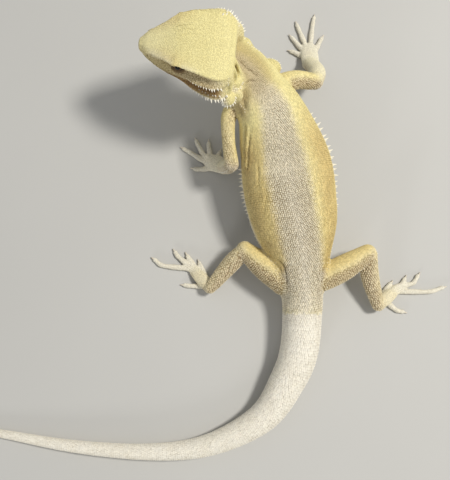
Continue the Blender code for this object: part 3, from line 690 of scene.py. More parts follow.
def open_lids(points, side):
    """Open the skin over an eye in the shape of an almond, with a raised rim."""
    centre = eye_centre(side)
    out, along, up = eye_frame(side)
    offset = points - centre
    reach = np.linalg.norm(offset, axis=1)
    near = ((reach < EYE_RADIUS + 4.0) & (offset @ out > 0.5)).nonzero()[0]
    q, r = offset[near], reach[near][:, None]
    m = lid_measure(q @ along, q @ up)[:, None]
    inner = EYE_RADIUS - SOCKET_DEPTH
    lid = EYE_RADIUS + LID_DEPTH + LID_RIM * np.exp(-((m - 1.25) / 0.25) ** 2)
    target = inner + (lid - inner) * smooth(0.86, 1.02, m)
    above = smooth(-0.5, 0.8, q @ up / LID_OPENING[1])[:, None]
    weight = smooth(2.6 - 1.25 * above, 1.5 - 0.42 * above, m)
    points[near] = centre + q / r * (r + (target - r) * weight)


def refine(thing):
    """More faces round the eyes, where the skin has its finest shapes."""
    grid = bmesh.new()
    grid.from_mesh(thing.data)
    chosen = set()
    for side in (1, -1):
        centre = Vector(to_world(eye_centre(side)))
        out = Vector(eye_frame(side)[0])
        for edge in grid.edges:
            middle = (edge.verts[0].co + edge.verts[1].co) / 2 - centre
            if middle.length < EYE_PATCH * MM and middle.dot(out) > 0:
                chosen.add(edge)
    bmesh.ops.subdivide_edges(grid, edges=list(chosen), cuts=1, use_grid_fill=True)
    bmesh.ops.triangulate(grid, faces=[f for f in grid.faces if len(f.verts) > 4])
    grid.to_mesh(thing.data)
    grid.free()


def nostril_gap(points, side):
    """How far each point is from a nostril."""
    return np.linalg.norm(points - head_side(*NOSTRIL, side), axis=1)


def ear_oval(points, side):
    """How far points are from an ear's middle, where its edge is 1, and how far off its plane."""
    place = head_place(points) - np.array(EAR_PLACE) * (1, side, 1)
    length, height = EAR_OPENING
    return np.hypot(place[:, 0] / length, place[:, 2] / height), np.abs(place[:, 1])


def carve_side(points, normals, side):
    """The lips, brow, hollows, nostril, ear and lids of one side of the head."""
    press(points, normals, side_line(MOUTH, side), *MOUTH_GROOVE, shoulders=LIP)
    ridge = np.array([crown_edge(x, side) for x, _ in RIDGE])
    raise_ridge(points, ridge, [height for _, height in RIDGE], side)
    for path, depth, width in SIDE_PRESSES:
        press(points, normals, side_line(path, side), depth, width, shoulders=0.0)
    away = nostril_gap(points, side)
    depth, radius = NOSTRIL_PIT
    height, middle, width = NOSTRIL_RIM
    pit = (-depth * np.exp(-(away / radius) ** 2)
           + height * np.exp(-((away - middle) / width) ** 2))
    points += normals * pit[:, None]
    oval, off = ear_oval(points, side)
    near = (oval < EAR_SHOULDER) & (off < EAR_OFF)
    points[near] -= normals[near] * (EAR_DEPTH * (1 - smooth(0.7, 1.0, oval[near])))[:, None]
    open_lids(points, side)


def detailed_skin(lofts):
    """The whole skin with its folds, thinned to its budget."""
    thing, points = base_skin(lofts)
    data = thing.data
    data.vertices.foreach_set("co", to_world(points).astype(np.float32).ravel())
    data.update()
    refine(thing)
    points = (read(data, "vertices", "co", 3) - SHIFT) / MM
    normals = read(data, "vertices", "normal", 3)
    for path, depth, width in CREASES:
        press(points, normals, np.array(path), depth, width)
    for side in (1, -1):
        carve_side(points, normals, side)
    data.vertices.foreach_set("co", to_world(points).astype(np.float32).ravel())
    thin = thing.modifiers.new("thin", "DECIMATE")
    triangles = sum(len(p.vertices) - 2 for p in data.polygons)
    thin.ratio = min(1.0, SKIN_FACES / triangles)
    evaluated(thing)
    thing.data.shade_smooth()
    return thing


# ---------------------------------------------------------------- size, relief, markings and painted shade
# In the functions below, smooth(low, high, value) says where a marking starts and where it is full.
# Hollows at the left shoulder, darkened with painted shade.
SHOULDER_PITS = ((10.0, 77.0, 57.0), (8.5, 70.0, 51.5))
SHED_LINE = 10.1         # where along the spine the tail's pale old skin starts
SHED_BLUR = 0.02
BARE_LIPS = 0.4          # how near the line of the mouth no scale grows
BARE_NOSTRIL = 0.8
BARE_EAR = 0.95          # share of the ear's opening
BARE_EAR_OFF = 5         # how far off an ear's plane skin may lie and still be bare
BARE_LIDS = 1.22         # share of the lids' opening
FIELD_SOFTEN = (12, 0.6)           # rounds and weight of the smoothing of the fields
NORMAL_SOFTEN = (3, 0.6)
# Along the spine: the distance between scales, and half the width of the band of the back.
SPINE_SIZES = ((0, 1.5, 3, 8, 10, 10.3, 12.5, 14.5, 16.5, 18, 19),
               (0.9, 0.95, 1.0, 1.05, 1.2, 1.35, 1.32, 1.2, 1.0, 0.75, 0.5))
BAND = ((0.0, 0.8, 1.8, 3.0, 5.0, 7.0, 8.3, 9.2), (3.0, 4.0, 6.0, 9.5, 13.0, 12.5, 12.5, 30.0))
# The distance between scales on the front and on the rear of each length of leg.
LIMB_SIZES = {"upper_arm": (1.1, 1.35), "forearm": (1.0, 1.2), "hand": (0.85, 0.85),
              "thigh": (1.0, 1.35), "shin": (1.3, 1.5), "foot": (0.85, 0.85),
              "neck_fold": (0.8, 0.8)}
LIMB_GOLD = {"thigh": 0.9, "upper_arm": 0.4, "shin": 0.4}
LIMB_CREAM = {"hand": 0.75, "foot": 0.35, "forearm": 0.55, "shin": 0.15}
FIELDS = ("size", "keel", "rise", "loose", "rear", "lilac", "gold", "cream", "tan", "rust", "gaps")


class Skin:
    """The finished skin's points, and what the coat over each of them is like."""

    def __init__(self, thing, lofts):
        data = thing.data
        self.thing = thing
        self.points = (read(data, "vertices", "co", 3) - SHIFT) / MM
        self.edges = read(data, "edges", "vertices", 2, np.int32)
        normals = read(data, "vertices", "normal", 3)
        self.normals = unit(relax(normals, self.edges, *NORMAL_SOFTEN))
        self.tree = kd_of(self.points)
        self.place(lofts)
        found = coat_fields(self)
        names = list(found)
        values = relax(np.stack([found[n] for n in names], -1), self.edges, *FIELD_SOFTEN)
        self.fields = {n: values[:, k] for k, n in enumerate(names)}
        shed = self.shed()
        for name, value in (("cream", 1.0), ("lilac", 0.0), ("gold", 0.0), ("keel", 0.9)):
            self.fields[name] += (value - self.fields[name]) * shed
        self.bare = self.bare_places()

    def shed(self):
        """1 on the tail's pale old skin, which starts at a sharp and slightly wavy line."""
        spine = self.loft == 0
        t = self.lofts[0].t[np.where(spine, self.i, 0)]
        past = t - SHED_LINE + SHED_BLUR * mottle(self.points, 1.6)
        return np.where(spine, smooth(-SHED_BLUR, SHED_BLUR, past), 0)

    def bare_places(self):
        """Where no scale grows: between the lips, in the nostrils and ears, and over the eyes."""
        bare = np.zeros(len(self.points), bool)
        for side in (1, -1):
            bare |= by_line(self.points, side_line(MOUTH, side))[0] < BARE_LIPS
            bare |= nostril_gap(self.points, side) < BARE_NOSTRIL
            oval, off = ear_oval(self.points, side)
            bare |= (oval < BARE_EAR) & (off < BARE_EAR_OFF)
            out, along, up = eye_frame(side)
            q = self.points - eye_centre(side)
            ahead = (np.linalg.norm(q, axis=1) < EYE_RADIUS + 2.5) & (q @ out > 0)
            bare |= ahead & (lid_measure(q @ along, q @ up) < BARE_LIDS)
        return bare

    def place(self, lofts):
        """The nearest place on a loft to each point."""
        samples, owners = [], []
        for k, loft in enumerate(lofts):
            skip = 6 if loft.kind == "digit" else 3 if loft.kind == "limb" else 1
            i, j = np.meshgrid(np.arange(len(loft.points)), np.arange(0, GRID_SIDES, skip),
                               indexing="ij")
            i, j = i.ravel(), j.ravel()
            samples.append(loft.points[i, j])
            owners.append(np.stack((np.full(len(i), k), i, j), -1))
        owners = np.concatenate(owners)
        found = nearest(kd_of(np.concatenate(samples)), self.points)[0]
        self.loft, self.i, self.j = owners[found].T
        self.lofts = lofts


def turn_of(j):
    """Degrees round a loft from the middle of the back, positive on the left."""
    turn = 360.0 * j / GRID_SIDES
    return np.where(turn > 180, turn - 360, turn)


def arc_of(loft, i, j):
    """Millimetres round a loft from the middle of the back, positive on the left."""
    whole = loft.arcs[i, -1]
    arc = loft.arcs[i, j]
    return np.where(arc > whole / 2, arc - whole, arc)


def mottle(points, size):
    """A slow wandering value from -1 to 1."""
    p = points / size
    a = np.sin(p @ (1.0, 0.7, 0.4)) * np.sin(p @ (-0.6, 1.1, 0.5) + 1.3)
    b = np.sin(p @ (0.4, -0.9, 1.2) * 2.1 + 0.6) * np.sin(p @ (1.3, 0.5, -0.7) * 1.9)
    return 0.65 * a + 0.35 * b


def coat_fields(skin):
    """Size, relief, markings and painted shade of the coat at each point of the skin."""
    found = {name: np.zeros(len(skin.points)) for name in FIELDS}
    makers = {"spine": spine_fields, "head": head_fields, "digit": digit_fields,
              "limb": limb_fields}
    for k, loft in enumerate(skin.lofts):
        mine = (skin.loft == k).nonzero()[0]
        args = (loft, skin.i[mine], skin.j[mine], skin.points[mine], skin.normals[mine])
        for name, values in makers[loft.kind](*args).items():
            found[name][mine] = values
    return found


def spine_fields(loft, i, j, points, normals):
    """The coat of the neck, trunk and tail."""
    t = loft.t[i]
    turn, arc = turn_of(j), arc_of(loft, i, j)
    belly = smooth(98, 116, np.abs(turn) + 5 * mottle(points, 3.0))
    for lobe, _ in LOBES:
        belly *= smooth(5.0, 9.0, np.linalg.norm(points - lobe, axis=1))
    tail = smooth(SHED_LINE, SHED_LINE + 0.2, t)
    half = np.interp(t, *BAND) + 1.0 * mottle(points, 2.5)
    across = np.abs(arc - 3.0 * smooth(2.4, 0.5, t))
    lilac = (1 - smooth(half - 2.4, half + 2.4, across)) * (1 - tail) * (1 - belly)
    lilac *= 0.55 + 0.45 * smooth(0.6, 2.8, t)
    trunk = smooth(2.6, 4.4, t) * (1 - smooth(9.0, 9.8, t)) * (1 - belly)
    middle = smooth(20, 48, np.abs(turn)) * (1 - 0.7 * smooth(62, 88, np.abs(turn)))
    left = smooth(-10, 30, turn)
    gold = trunk * (0.15 + 0.85 * np.maximum(middle, 0.8 * left))
    rust = trunk * middle * smooth(-0.3, 0.9, mottle(points, 3.2)) * (0.3 + 0.18 * left)
    edge = np.abs(turn) + 9 * left * smooth(6.0, 6.8, t)
    # Painted shade in the shoulder hollows.
    for pit in SHOULDER_PITS:
        away = np.linalg.norm(points - pit, axis=1)
        rust = np.maximum(rust, 0.5 * smooth(8.5, 2.0, away))
    # Painted shade: the top of the neck just behind the head is darkened with the reddish brown,
    # standing for the shade behind the head.
    rust = np.maximum(rust, 0.42 * smooth(3.0, 1.2, t) * smooth(13, 7, np.abs(arc)))
    return {
        "size": np.interp(t, *SPINE_SIZES) * (1 + 0.25 * belly * (1 - tail)),
        "keel": (0.35 + 0.55 * np.maximum(lilac, tail) + 0.2 * trunk) * (1 - 0.6 * belly),
        "rise": 0.15 + 0.16 * lilac + 0.08 * tail + 0.03 * trunk - 0.04 * belly,
        "loose": 0.25 * lilac,
        "lilac": lilac,
        "gold": gold,
        "cream": np.maximum(np.maximum(0.8 * belly, 0.75 * smooth(84, 94, edge) * trunk),
                            0.4 * smooth(5.0, 1.5, np.abs(arc)) * smooth(3.0, 5.0, t)),
        # Painted shade: tan on the left of the neck stands for the head's shadow there.
        "tan": 0.4 * left * smooth(3.0, 1.8, t),
        "rust": rust,
        # The trunk's gaps are darker on the right than on the left: partly the scales' texture,
        # partly painted shade that tones down the key light on the right flank.
        "gaps": 0.4 + 0.6 * lilac + 0.15 * tail + trunk * (0.45 - 0.1 * left) - 0.15 * belly,
    }


def head_fields(loft, i, j, points, normals):
    """The coat of the head."""
    x, y, z = head_place(points).T
    xs = [row[0] for row in HEAD]
    edge = np.interp(x, xs, [row[6] - row[7] for row in HEAD])
    side = 1 - smooth(0.84, 0.98, z / edge)
    low = smooth(2.6, 1.2, z) * smooth(24, 18, x) + smooth(0.5, -1.0, z) * smooth(18, 24, x)
    beard = smooth(-4.5, -7.5, z)
    back = smooth(0.5, 5.0, x)
    cheek = side * (1 - low) * smooth(36, 26, x) * back
    jaw = low * (1 - beard) * smooth(44, 30, x) * back
    corner = smooth(8.0, 2.0, x) * side
    ridge = 1 - smooth(0.6, 1.8, by_line(points, crown_line(y))[0])
    half = np.interp(x, xs, [row[1] for row in HEAD])
    lid = np.zeros(len(points))
    for hand in (1, -1):
        out, along, up = eye_frame(hand)
        q = points - eye_centre(hand)
        lids = smooth(2.1, 1.3, lid_measure(0.8 * (q @ along), q @ up)) * (q @ out > 0)
        lid = np.maximum(lid, lids * (np.linalg.norm(q, axis=1) < EYE_RADIUS + 3))
    front = smooth(22, 44, x)
    brow = np.exp(-((x - 32) / 9) ** 2) * smooth(0.35, 0.95, np.abs(y) / half) * (1 - side)
    return {
        "size": 0.82 - 0.12 * smooth(36, 46, x) + 0.08 * cheek + 0.3 * beard,
        "keel": 0.1 + 0.4 * cheek + 0.5 * beard + 0.3 * corner,
        "rise": 0.10 + 0.10 * cheek + 0.11 * beard + 0.06 * corner,
        "loose": 0.35 * cheek + 0.4 * beard,
        "gold": np.maximum(0.45 * side * smooth(20, 40, x), 0.75 * brow),
        "cream": np.maximum(0.45 * beard + 0.2 * corner,
                            (0.3 * ridge * smooth(12, 20, x) + 0.15 * front) * (1 - lid)),
        # Painted shade: the jaw under the cheek's edge takes the dark reddish brown in full, and
        # the side of the head below the crown takes some of it; the cheek's tan is partly its own
        # colour and partly painted shade. Round the eyes the reddish brown gives the dark lid rims.
        "tan": 0.75 * cheek + 0.3 * jaw,
        "rust": np.maximum(np.maximum(jaw, 0.8 * lid * side),
                           0.36 * side * (1 - beard) * smooth(48, 40, x) * (1 - corner)),
        # The much darker gaps on the side of the head below the crown are painted shade.
        "gaps": (0.24 + 0.55 * side - 0.2 * ridge) * (1 - 0.6 * front * (1 - side)),
    }


def crown_line(y):
    """The crown's edge, on the side where most of the given places are."""
    side = 1 if np.sum(y) > 0 else -1
    return np.array([crown_edge(x, side) for x, _ in RIDGE])


def limb_fields(loft, i, j, points, normals):
    """The coat of the legs, hands and feet, rougher on their rear."""
    name = loft.name.rsplit("_", 1)[0]
    front, back = LIMB_SIZES[name]
    rear = smooth(-0.15, 0.45, -normals[:, 1])
    if name == "shin":
        rear = np.maximum(rear, 0.75)
    under = smooth(-0.3, -0.8, normals[:, 2])
    sole = float(name in ("hand", "foot"))
    rough = rear * (back > 1.1) * (1 - 0.6 * under)
    return {
        "size": front + (back - front) * smooth(0.4, 0.6, rear),
        "keel": 0.2 + 0.7 * rough,
        "rise": 0.13 + 0.21 * rough,
        "loose": rough,
        "rear": rear,
        "gold": (1 - rough) * LIMB_GOLD.get(name, 0.0),
        "cream": LIMB_CREAM.get(name, 0.0) + 0.2 * under * (1 - sole),
        "tan": np.maximum(rough, 0.7 * (name == "foot")),
        "rust": 0.15 * rough,
        "gaps": 0.35 + 0.6 * rough,
    }


def digit_fields(loft, i, j, points, normals):
    """The coat of the digits, the same all over."""
    one = np.ones(len(points))
    return {"size": DIGIT_PITCH * one, "keel": 0.2 * one, "rise": 0.16 * one, "cream": 0.9 * one,
            "gaps": 0.5 * one}


# ---------------------------------------------------------------- where the scales grow
ROW_SHARE = {"spine": 1.1, "head": 0.92, "limb": 0.92, "digit": 0.95}
CHEVRON = 0.30           # how far rows sweep forwards, for each millimetre out from the back
CHEVRON_REACH = 20.0
JITTER = {"spine": 0.09, "head": 0.17, "limb": 0.10, "digit": 0.08}
BURIED = 1.3             # how deep under the skin a loft may lie and still bear scales
BURIED_ELSEWHERE = 0.4   # the same, where the skin belongs to another loft
PROUD = 1.6              # how far over the skin it may lie
FARTHEST = 1.9
NO_LATTICE = -2
DIGIT_PITCH = 0.72
NEAREST_KEPT = 0.62      # of a scale's size, between roots of two lattices
NEAREST_FILLED = 0.8


def lattice(loft, pitch_of, rng):
    """Rows and columns of a loft where scales may grow, in rows offset by half a scale."""
    rows, cols = [], []
    s, row = 0.3, 0
    chevron = CHEVRON if loft.kind == "spine" else 0.0
    jitter = JITTER[loft.kind]
    while s < loft.run[-1] - 0.2:
        i = float(np.interp(s, loft.run, range(len(loft.run))))
        arcs = loft.arcs[int(round(i))]
        whole = arcs[-1]
        pitch = pitch_of(loft, i)
        step = whole / max(5, round(whole / pitch)) if whole < 40 else pitch
        half = int(whole / 2 / step)
        d = (np.arange(-half, half + 1) + 0.5 * (row % 2)) * step
        d = d[(d > -whole / 2) & (d <= whole / 2)]
        d = d + rng.normal(0, jitter * step, len(d))
        back = chevron * np.minimum(np.abs(d), CHEVRON_REACH) * smooth(8.0, 20.0, whole / 6)
        run = s - back + rng.normal(0, jitter * pitch, len(d))
        rows.append(np.interp(run, loft.run, range(len(loft.run))))
        cols.append(np.interp(np.mod(d, whole), arcs, range(GRID_SIDES + 1)))
        s += pitch * ROW_SHARE[loft.kind]
        row += 1
    return np.concatenate(rows), np.concatenate(cols)


def spine_pitch(loft, i):
    """The distance between scales at a row of the spine."""
    return float(np.interp(loft.t[int(i)], *SPINE_SIZES))


def head_pitch(loft, i):
    """The distance between scales at a row of the head."""
    return 0.84 - 0.12 * float(smooth(36, 46, loft.t[int(i)]))


def zones_of(loft):
    """For each lattice on a loft: its pitch, and the least and most that `rear` may be there."""
    if loft.kind == "spine":
        return [(spine_pitch, -1, 2)]
    if loft.kind == "head":
        return [(head_pitch, -1, 2)]
    if loft.kind == "digit":
        return [(lambda loft, i: DIGIT_PITCH, -1, 2)]
    front, back = LIMB_SIZES[loft.name.rsplit("_", 1)[0]]
    return [(lambda loft, i: front, -1, 0.5), (lambda loft, i: back, 0.5, 2)]


class Spacing:
    """Roots by the cell they lie in, so that none grows too near another."""

    def __init__(self, cell=1.5):
        self.cell = cell
        self.cells = {}

    def key(self, p):
        return tuple(int(math.floor(c / self.cell)) for c in p)

    def free(self, p, room, lattice=-1):
        a, b, c = self.key(p)
        cells, room2 = self.cells, room * room
        for i in (a - 1, a, a + 1):
            for j in (b - 1, b, b + 1):
                for k in (c - 1, c, c + 1):
                    for x, y, z, who in cells.get((i, j, k), ()):
                        if who != lattice:
                            d = (x - p[0]) ** 2 + (y - p[1]) ** 2 + (z - p[2]) ** 2
                            if d < room2:
                                return False
        return True

    def add(self, p, lattice):
        self.cells.setdefault(self.key(p), []).append((p[0], p[1], p[2], lattice))


def on_skin(skin, points):
    """Places on the skin, their normals, how deep and how far off points are, and skin points."""
    verts, away = nearest(skin.tree, points)
    normals = skin.normals[verts]
    offset = np.sum((points - skin.points[verts]) * normals, axis=1)
    return points - normals * offset[:, None], normals, offset, away, verts


def lid_roots(skin, side):
    """Rings of small scales round an eye: places, normals and ways."""
    out, along, up = eye_frame(side)
    length, height = LID_OPENING
    found = []
    for share, count in LID_RINGS:
        for turn in np.linspace(0, 2 * math.pi, count, endpoint=False):
            a = length * (share - 0.1) * math.cos(turn)
            b = height * share * math.sin(turn) - LID_DROP
            depth = math.sqrt(max((EYE_RADIUS + LID_DEPTH) ** 2 - a * a - b * b, 1.0))
            offset = along * a + up * b + out * depth
            v = skin.tree.find((eye_centre(side) + offset).tolist())[1]
            tip = along * math.sin(turn) - up * math.cos(turn)
            found.append((skin.points[v], skin.normals[v], tip))
    return found


class Roots:
    """Every scale's root: place, normal, way its tip points, skin point, loft, row and column."""

    NAMES = ("place", "normal", "tip", "vert", "loft", "i", "j")

    def __init__(self):
        self.spacing = Spacing()
        self.rows = []

    def add(self, who, *values):
        """Keep one root, grown by the lattice who."""
        self.spacing.add(values[0].tolist(), who)
        self.rows.append(values)

    def columns(self):
        """One array for each name."""
        return {name: np.array(values) for name, values in zip(self.NAMES, zip(*self.rows))}


def grow_lids(skin, roots):
    """Roots in rings round the eyes."""
    for side in (1, -1):
        for place, normal, tip in lid_roots(skin, side):
            if roots.spacing.free(place.tolist(), LID_SCALE_ROOM):
                v = skin.tree.find(place.tolist())[1]
                roots.add(NO_LATTICE, place, normal, tip, v, skin.loft[v], skin.i[v], skin.j[v])


def grow_rows(skin, roots, rng):
    """Roots in rows that follow each loft, trunk and head first."""
    order = sorted(range(len(skin.lofts)), key=lambda k: skin.lofts[k].kind in ("limb", "digit"))
    for number, k in enumerate(order):
        loft = skin.lofts[k]
        for pitch, least, most in zones_of(loft):
            i, j = lattice(loft, pitch, rng)
            tips = loft.at(i + 0.5, j) - loft.at(i - 0.5, j)
            places, normals, offset, away, verts = on_skin(skin, loft.at(i, j))
            good = (offset > -BURIED) & (offset < PROUD) & (away < FARTHEST) & ~skin.bare[verts]
            good &= (skin.loft[verts] == k) | (offset > -BURIED_ELSEWHERE)
            rear = skin.fields["rear"][verts]
            good &= (rear >= least) & (rear < most)
            size = skin.fields["size"][verts]
            who = number * 2 + (least > 0)
            for n in good.nonzero()[0]:
                if roots.spacing.free(places[n].tolist(), NEAREST_KEPT * size[n], who):
                    roots.add(who, places[n], normals[n], tips[n], verts[n], k, i[n], j[n])


def fill_gaps(skin, roots, rng):
    """Roots wherever the rows leave room."""
    for v in rng.permutation(len(skin.points)):
        p = skin.points[v].tolist()
        if not skin.bare[v] and roots.spacing.free(p, NEAREST_FILLED * skin.fields["size"][v]):
            loft = skin.lofts[skin.loft[v]]
            i, j = np.array([float(skin.i[v])]), np.array([float(skin.j[v])])
            tip = (loft.at(i + 1, j) - loft.at(i - 1, j))[0]
            roots.add(NO_LATTICE, skin.points[v], skin.normals[v], tip, v, skin.loft[v], i[0], j[0])


def grow_roots(skin):
    """The roots of the whole coat."""
    roots = Roots()
    rng = np.random.default_rng(SEED)
    grow_lids(skin, roots)
    grow_rows(skin, roots, rng)
    fill_gaps(skin, roots, rng)
    return roots.columns()


# ---------------------------------------------------------------- the shapes of scales
MARKS = ("lilac", "gold", "cream", "tan", "rust", "gaps")
STYLES = {"head": "plate", "neck": "bead", "hand": "bead", "foot": "bead", "forearm": "bead"}
# For each style: width and length for a size of 1, what looseness takes off the length, and the
# scatter of its points.
STYLE_SIZES = {"keeled": (1.06, 1.55, 0.48, 0.03), "plate": (1.04, 1.1, 0.1, 0.07),
               "bead": (1.05, 1.2, 0.1, 0.03)}
LOOSE_WIDTH = 0.22       # what looseness takes off the width
SPIN = 0.09
SIZE_SCATTER = 0.08
RISE = 1.25
SPREAD = {"keeled": 0.9, "plate": 0.5, "bead": 0.6}    # how unlike each other scales are in tone
TAIL_SPREAD = 0.45
MOST_TRIANGLES = 150_000
UV_PATCH = 0.003
UV_EDGE = 0.02


def ring_of(points):
    """A ring's right half mirrored, from the front round the right to the tip and back."""
    return list(points) + [(-x, y, *rest) for x, y, *rest in points[-2:0:-1]]


# Outline points of a keeled scale as x across, y towards the tip, then its height with a sharp
# keel and without one.
KEELED_EDGE = ring_of(((0.0, -0.46, 0.05, 0.25), (0.34, -0.30, 0.10, 0.35),
                       (0.50, 0.02, 0.26, 0.42), (0.40, 0.35, 0.52, 0.50), (0.0, 0.54, 0.88, 0.62)))
KEELED_RIDGE = ((0.0, -0.22, 0.42, 0.72), (0.0, 0.08, 0.85, 1.0), (0.0, 0.36, 1.12, 0.95))
UNDERCUT = 0.86
ROOT_DEPTH = 0.45


def keeled_template():
    """Points, their sharp and plain heights, relief, and faces."""
    edge = np.array(KEELED_EDGE)
    ridge = np.array(KEELED_RIDGE)
    foot = edge.copy()
    foot[:, :2] *= UNDERCUT
    foot[:, 2:] = -ROOT_DEPTH
    points = np.concatenate((foot, edge, ridge))
    relief = np.concatenate((np.zeros(8), (0.0, 0.05, 0.2, 0.6, 0.95, 0.6, 0.2, 0.05),
                             (0.4, 0.85, 1.0)))
    faces = [(k, (k + 1) % 8, 8 + (k + 1) % 8, 8 + k) for k in range(8)]
    e, r = 8, 16
    for a, b, c, d in ((0, 1, 2, 3), (0, 7, 6, 5)):
        sided = [(e + a, e + b, r), (e + b, e + c, r + 1, r), (e + c, e + d, r + 2, r + 1),
                 (e + d, e + 4, r + 2)]
        faces += sided if b == 1 else [f[::-1] for f in sided]
    return points, relief, faces


def round_template(levels, sides=6):
    """A scale of rings round its middle: share of the outline, height and relief of each."""
    turns = 2 * math.pi * np.arange(sides) / sides
    points, relief = [], []
    for share, height, light in levels:
        for a in turns:
            points.append((0.5 * share * math.sin(a), -0.5 * share * math.cos(a), height, height))
            relief.append(light)
    points.append((0.0, 0.0, 1.0, 1.0))
    relief.append(1.0)
    faces = []
    for level in range(len(levels) - 1):
        a, b = level * sides, (level + 1) * sides
        faces += [(a + k, a + (k + 1) % sides, b + (k + 1) % sides, b + k) for k in range(sides)]
    last = (len(levels) - 1) * sides
    faces += [(last + k, last + (k + 1) % sides, len(points) - 1) for k in range(sides)]
    return np.array(points), np.array(relief), faces


TEMPLATES = {
    "keeled": keeled_template(),
    "plate": round_template(((0.96, -ROOT_DEPTH, 0.0), (1.0, 0.35, 0.5), (0.74, 0.92, 0.9))),
    "bead": round_template(((0.98, -ROOT_DEPTH, 0.0), (0.80, 0.62, 0.7))),
}


def scale_axes(roots, chosen, rng):
    """For each scale: off the skin, towards its tip with a little spin, and to its right."""
    normal = roots["normal"][chosen]
    tip = roots["tip"][chosen]
    tip = unit(tip - normal * np.sum(tip * normal, axis=1)[:, None])
    spin = rng.normal(0, SPIN, len(chosen))[:, None]
    tip = unit(tip + np.cross(tip, normal) * spin)
    return normal, tip, np.cross(tip, normal)


def scale_points(style, fields, roots, chosen, rng):
    """The points of every scale, in the sizes and the relief of the skin under it."""
    shape = TEMPLATES[style][0]
    normal, tip, right = scale_axes(roots, chosen, rng)
    size = fields["size"] * (1 + np.clip(rng.normal(0, SIZE_SCATTER, len(chosen)), -0.2, 0.25))
    loose = np.clip(fields["loose"], 0, 1)
    wide, long, shorter, scatter = STYLE_SIZES[style]
    wide = wide - LOOSE_WIDTH * loose
    long = long - shorter * loose
    keel = np.clip(fields["keel"], 0, 1)[:, None]
    wobble = 1 + rng.normal(0, scatter, (len(chosen), len(shape)))
    x = shape[:, 0] * (size * wide)[:, None] * wobble
    y = shape[:, 1] * (size * long)[:, None] * wobble
    z = (shape[:, 2] * keel + shape[:, 3] * (1 - keel)) * (fields["rise"] * size * RISE)[:, None]
    return (roots["place"][chosen][:, None] + right[:, None] * x[..., None]
            + tip[:, None] * y[..., None] + normal[:, None] * z[..., None])


def scale_mesh(name, points, faces, rounded_look):
    """A mesh with the same faces on every scale, and the point of each of its loops."""
    count, each = points.shape[:2]
    loops = np.array([k for face in faces for k in face])
    sizes = np.array([len(face) for face in faces])
    all_loops = (loops[None] + each * np.arange(count)[:, None]).ravel()
    starts = np.concatenate(([0], np.cumsum(np.tile(sizes, count))[:-1]))
    data = bpy.data.meshes.new(name)
    data.vertices.add(count * each)
    data.vertices.foreach_set("co", to_world(points.reshape(-1, 3)).astype(np.float32).ravel())
    data.loops.add(len(all_loops))
    data.loops.foreach_set("vertex_index", all_loops.astype(np.int32))
    data.polygons.add(count * len(faces))
    data.polygons.foreach_set("loop_start", starts.astype(np.int32))
    data.update(calc_edges=True)
    data.polygons.foreach_set("use_smooth", np.full(count * len(faces), rounded_look))
    return data, all_loops


def bake_map(data, loops, shape, roots, chosen, lofts):
    """A small patch of the bake map for each scale, laid out by loft row and column."""
    loft_rows = np.array([len(lofts[k].points) for k in roots["loft"][chosen]])
    u = UV_EDGE + (1 - 2 * UV_EDGE) * roots["i"][chosen] / loft_rows
    v = UV_EDGE + (1 - 2 * UV_EDGE) * roots["j"][chosen] / GRID_SIDES
    patch = np.stack((u[:, None] + shape[None, :, 0] * UV_PATCH,
                      v[:, None] + shape[None, :, 1] * UV_PATCH), -1).reshape(-1, 2)
    layer = data.uv_layers.new(name="OFBake")
    layer.uv.foreach_set("vector", patch[loops].astype(np.float32).ravel())


def coat_piece(name, style, roots, skin, chosen, rng):
    """One joined mesh of many scales, with its markings and its bake map."""
    shape, relief, faces = TEMPLATES[style]
    fields = {n: skin.fields[n][roots["vert"][chosen]] for n in skin.fields}
    points = scale_points(style, fields, roots, chosen, rng)
    data, loops = scale_mesh(name, points, faces, style != "keeled")
    count, each = points.shape[:2]
    for mark in MARKS:
        write_float(data, mark, np.repeat(fields[mark], each))
    write_float(data, "relief", np.tile(relief, count))
    spread = TAIL_SPREAD if name.startswith("scales_tail") else SPREAD[style]
    write_float(data, "chance", np.repeat(0.5 + spread * (rng.random(count) - 0.5), each))
    bake_map(data, loops, shape, roots, chosen, skin.lofts)
    return linked(name, data)


def write_float(data, name, values):
    """One number for each point of a mesh."""
    found = data.attributes.new(name, "FLOAT", "POINT")
    found.data.foreach_set("value", np.asarray(values, np.float32))


def node_of(loft, i):
    """The solid that a place on a loft belongs to."""
    if loft.kind == "spine":
        return next(name for name, end in SPINE_NODES if loft.t[int(i)] <= end)
    if loft.kind == "digit":
        return loft.name.rsplit("_", 1)[0]
    if loft.name.startswith("neck_fold"):
        return "neck"
    return loft.name


def build_coat(skin, material):
    """All scales, in one piece for each part of the body, or in several where it has many."""
    roots = grow_roots(skin)
    rng = np.random.default_rng(SEED)
    names = np.array([node_of(skin.lofts[k], i) for k, i in zip(roots["loft"], roots["i"])])
    for name in sorted(set(names)):
        chosen = (names == name).nonzero()[0]
        style = STYLES.get(name, STYLES.get(name.split("_")[0], "keeled"))
        each = sum(len(f) - 2 for f in TEMPLATES[style][2])
        shares = np.array_split(chosen, 1 + each * len(chosen) // MOST_TRIANGLES)
        for number, share in enumerate(shares, 1):
            label = name if len(shares) == 1 else f"{name}_part_{number}"
            piece = coat_piece("scales_" + label, style, roots, skin, share, rng)
            finish(piece, material, "hide")


def finish(piece, material, slot, *replaced):
    """Give a piece its material and its body; the slot is not used."""
    piece.data.materials.clear()
    piece.data.materials.append(material)
    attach(piece, "root")
    if replaced:
        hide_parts(*replaced)


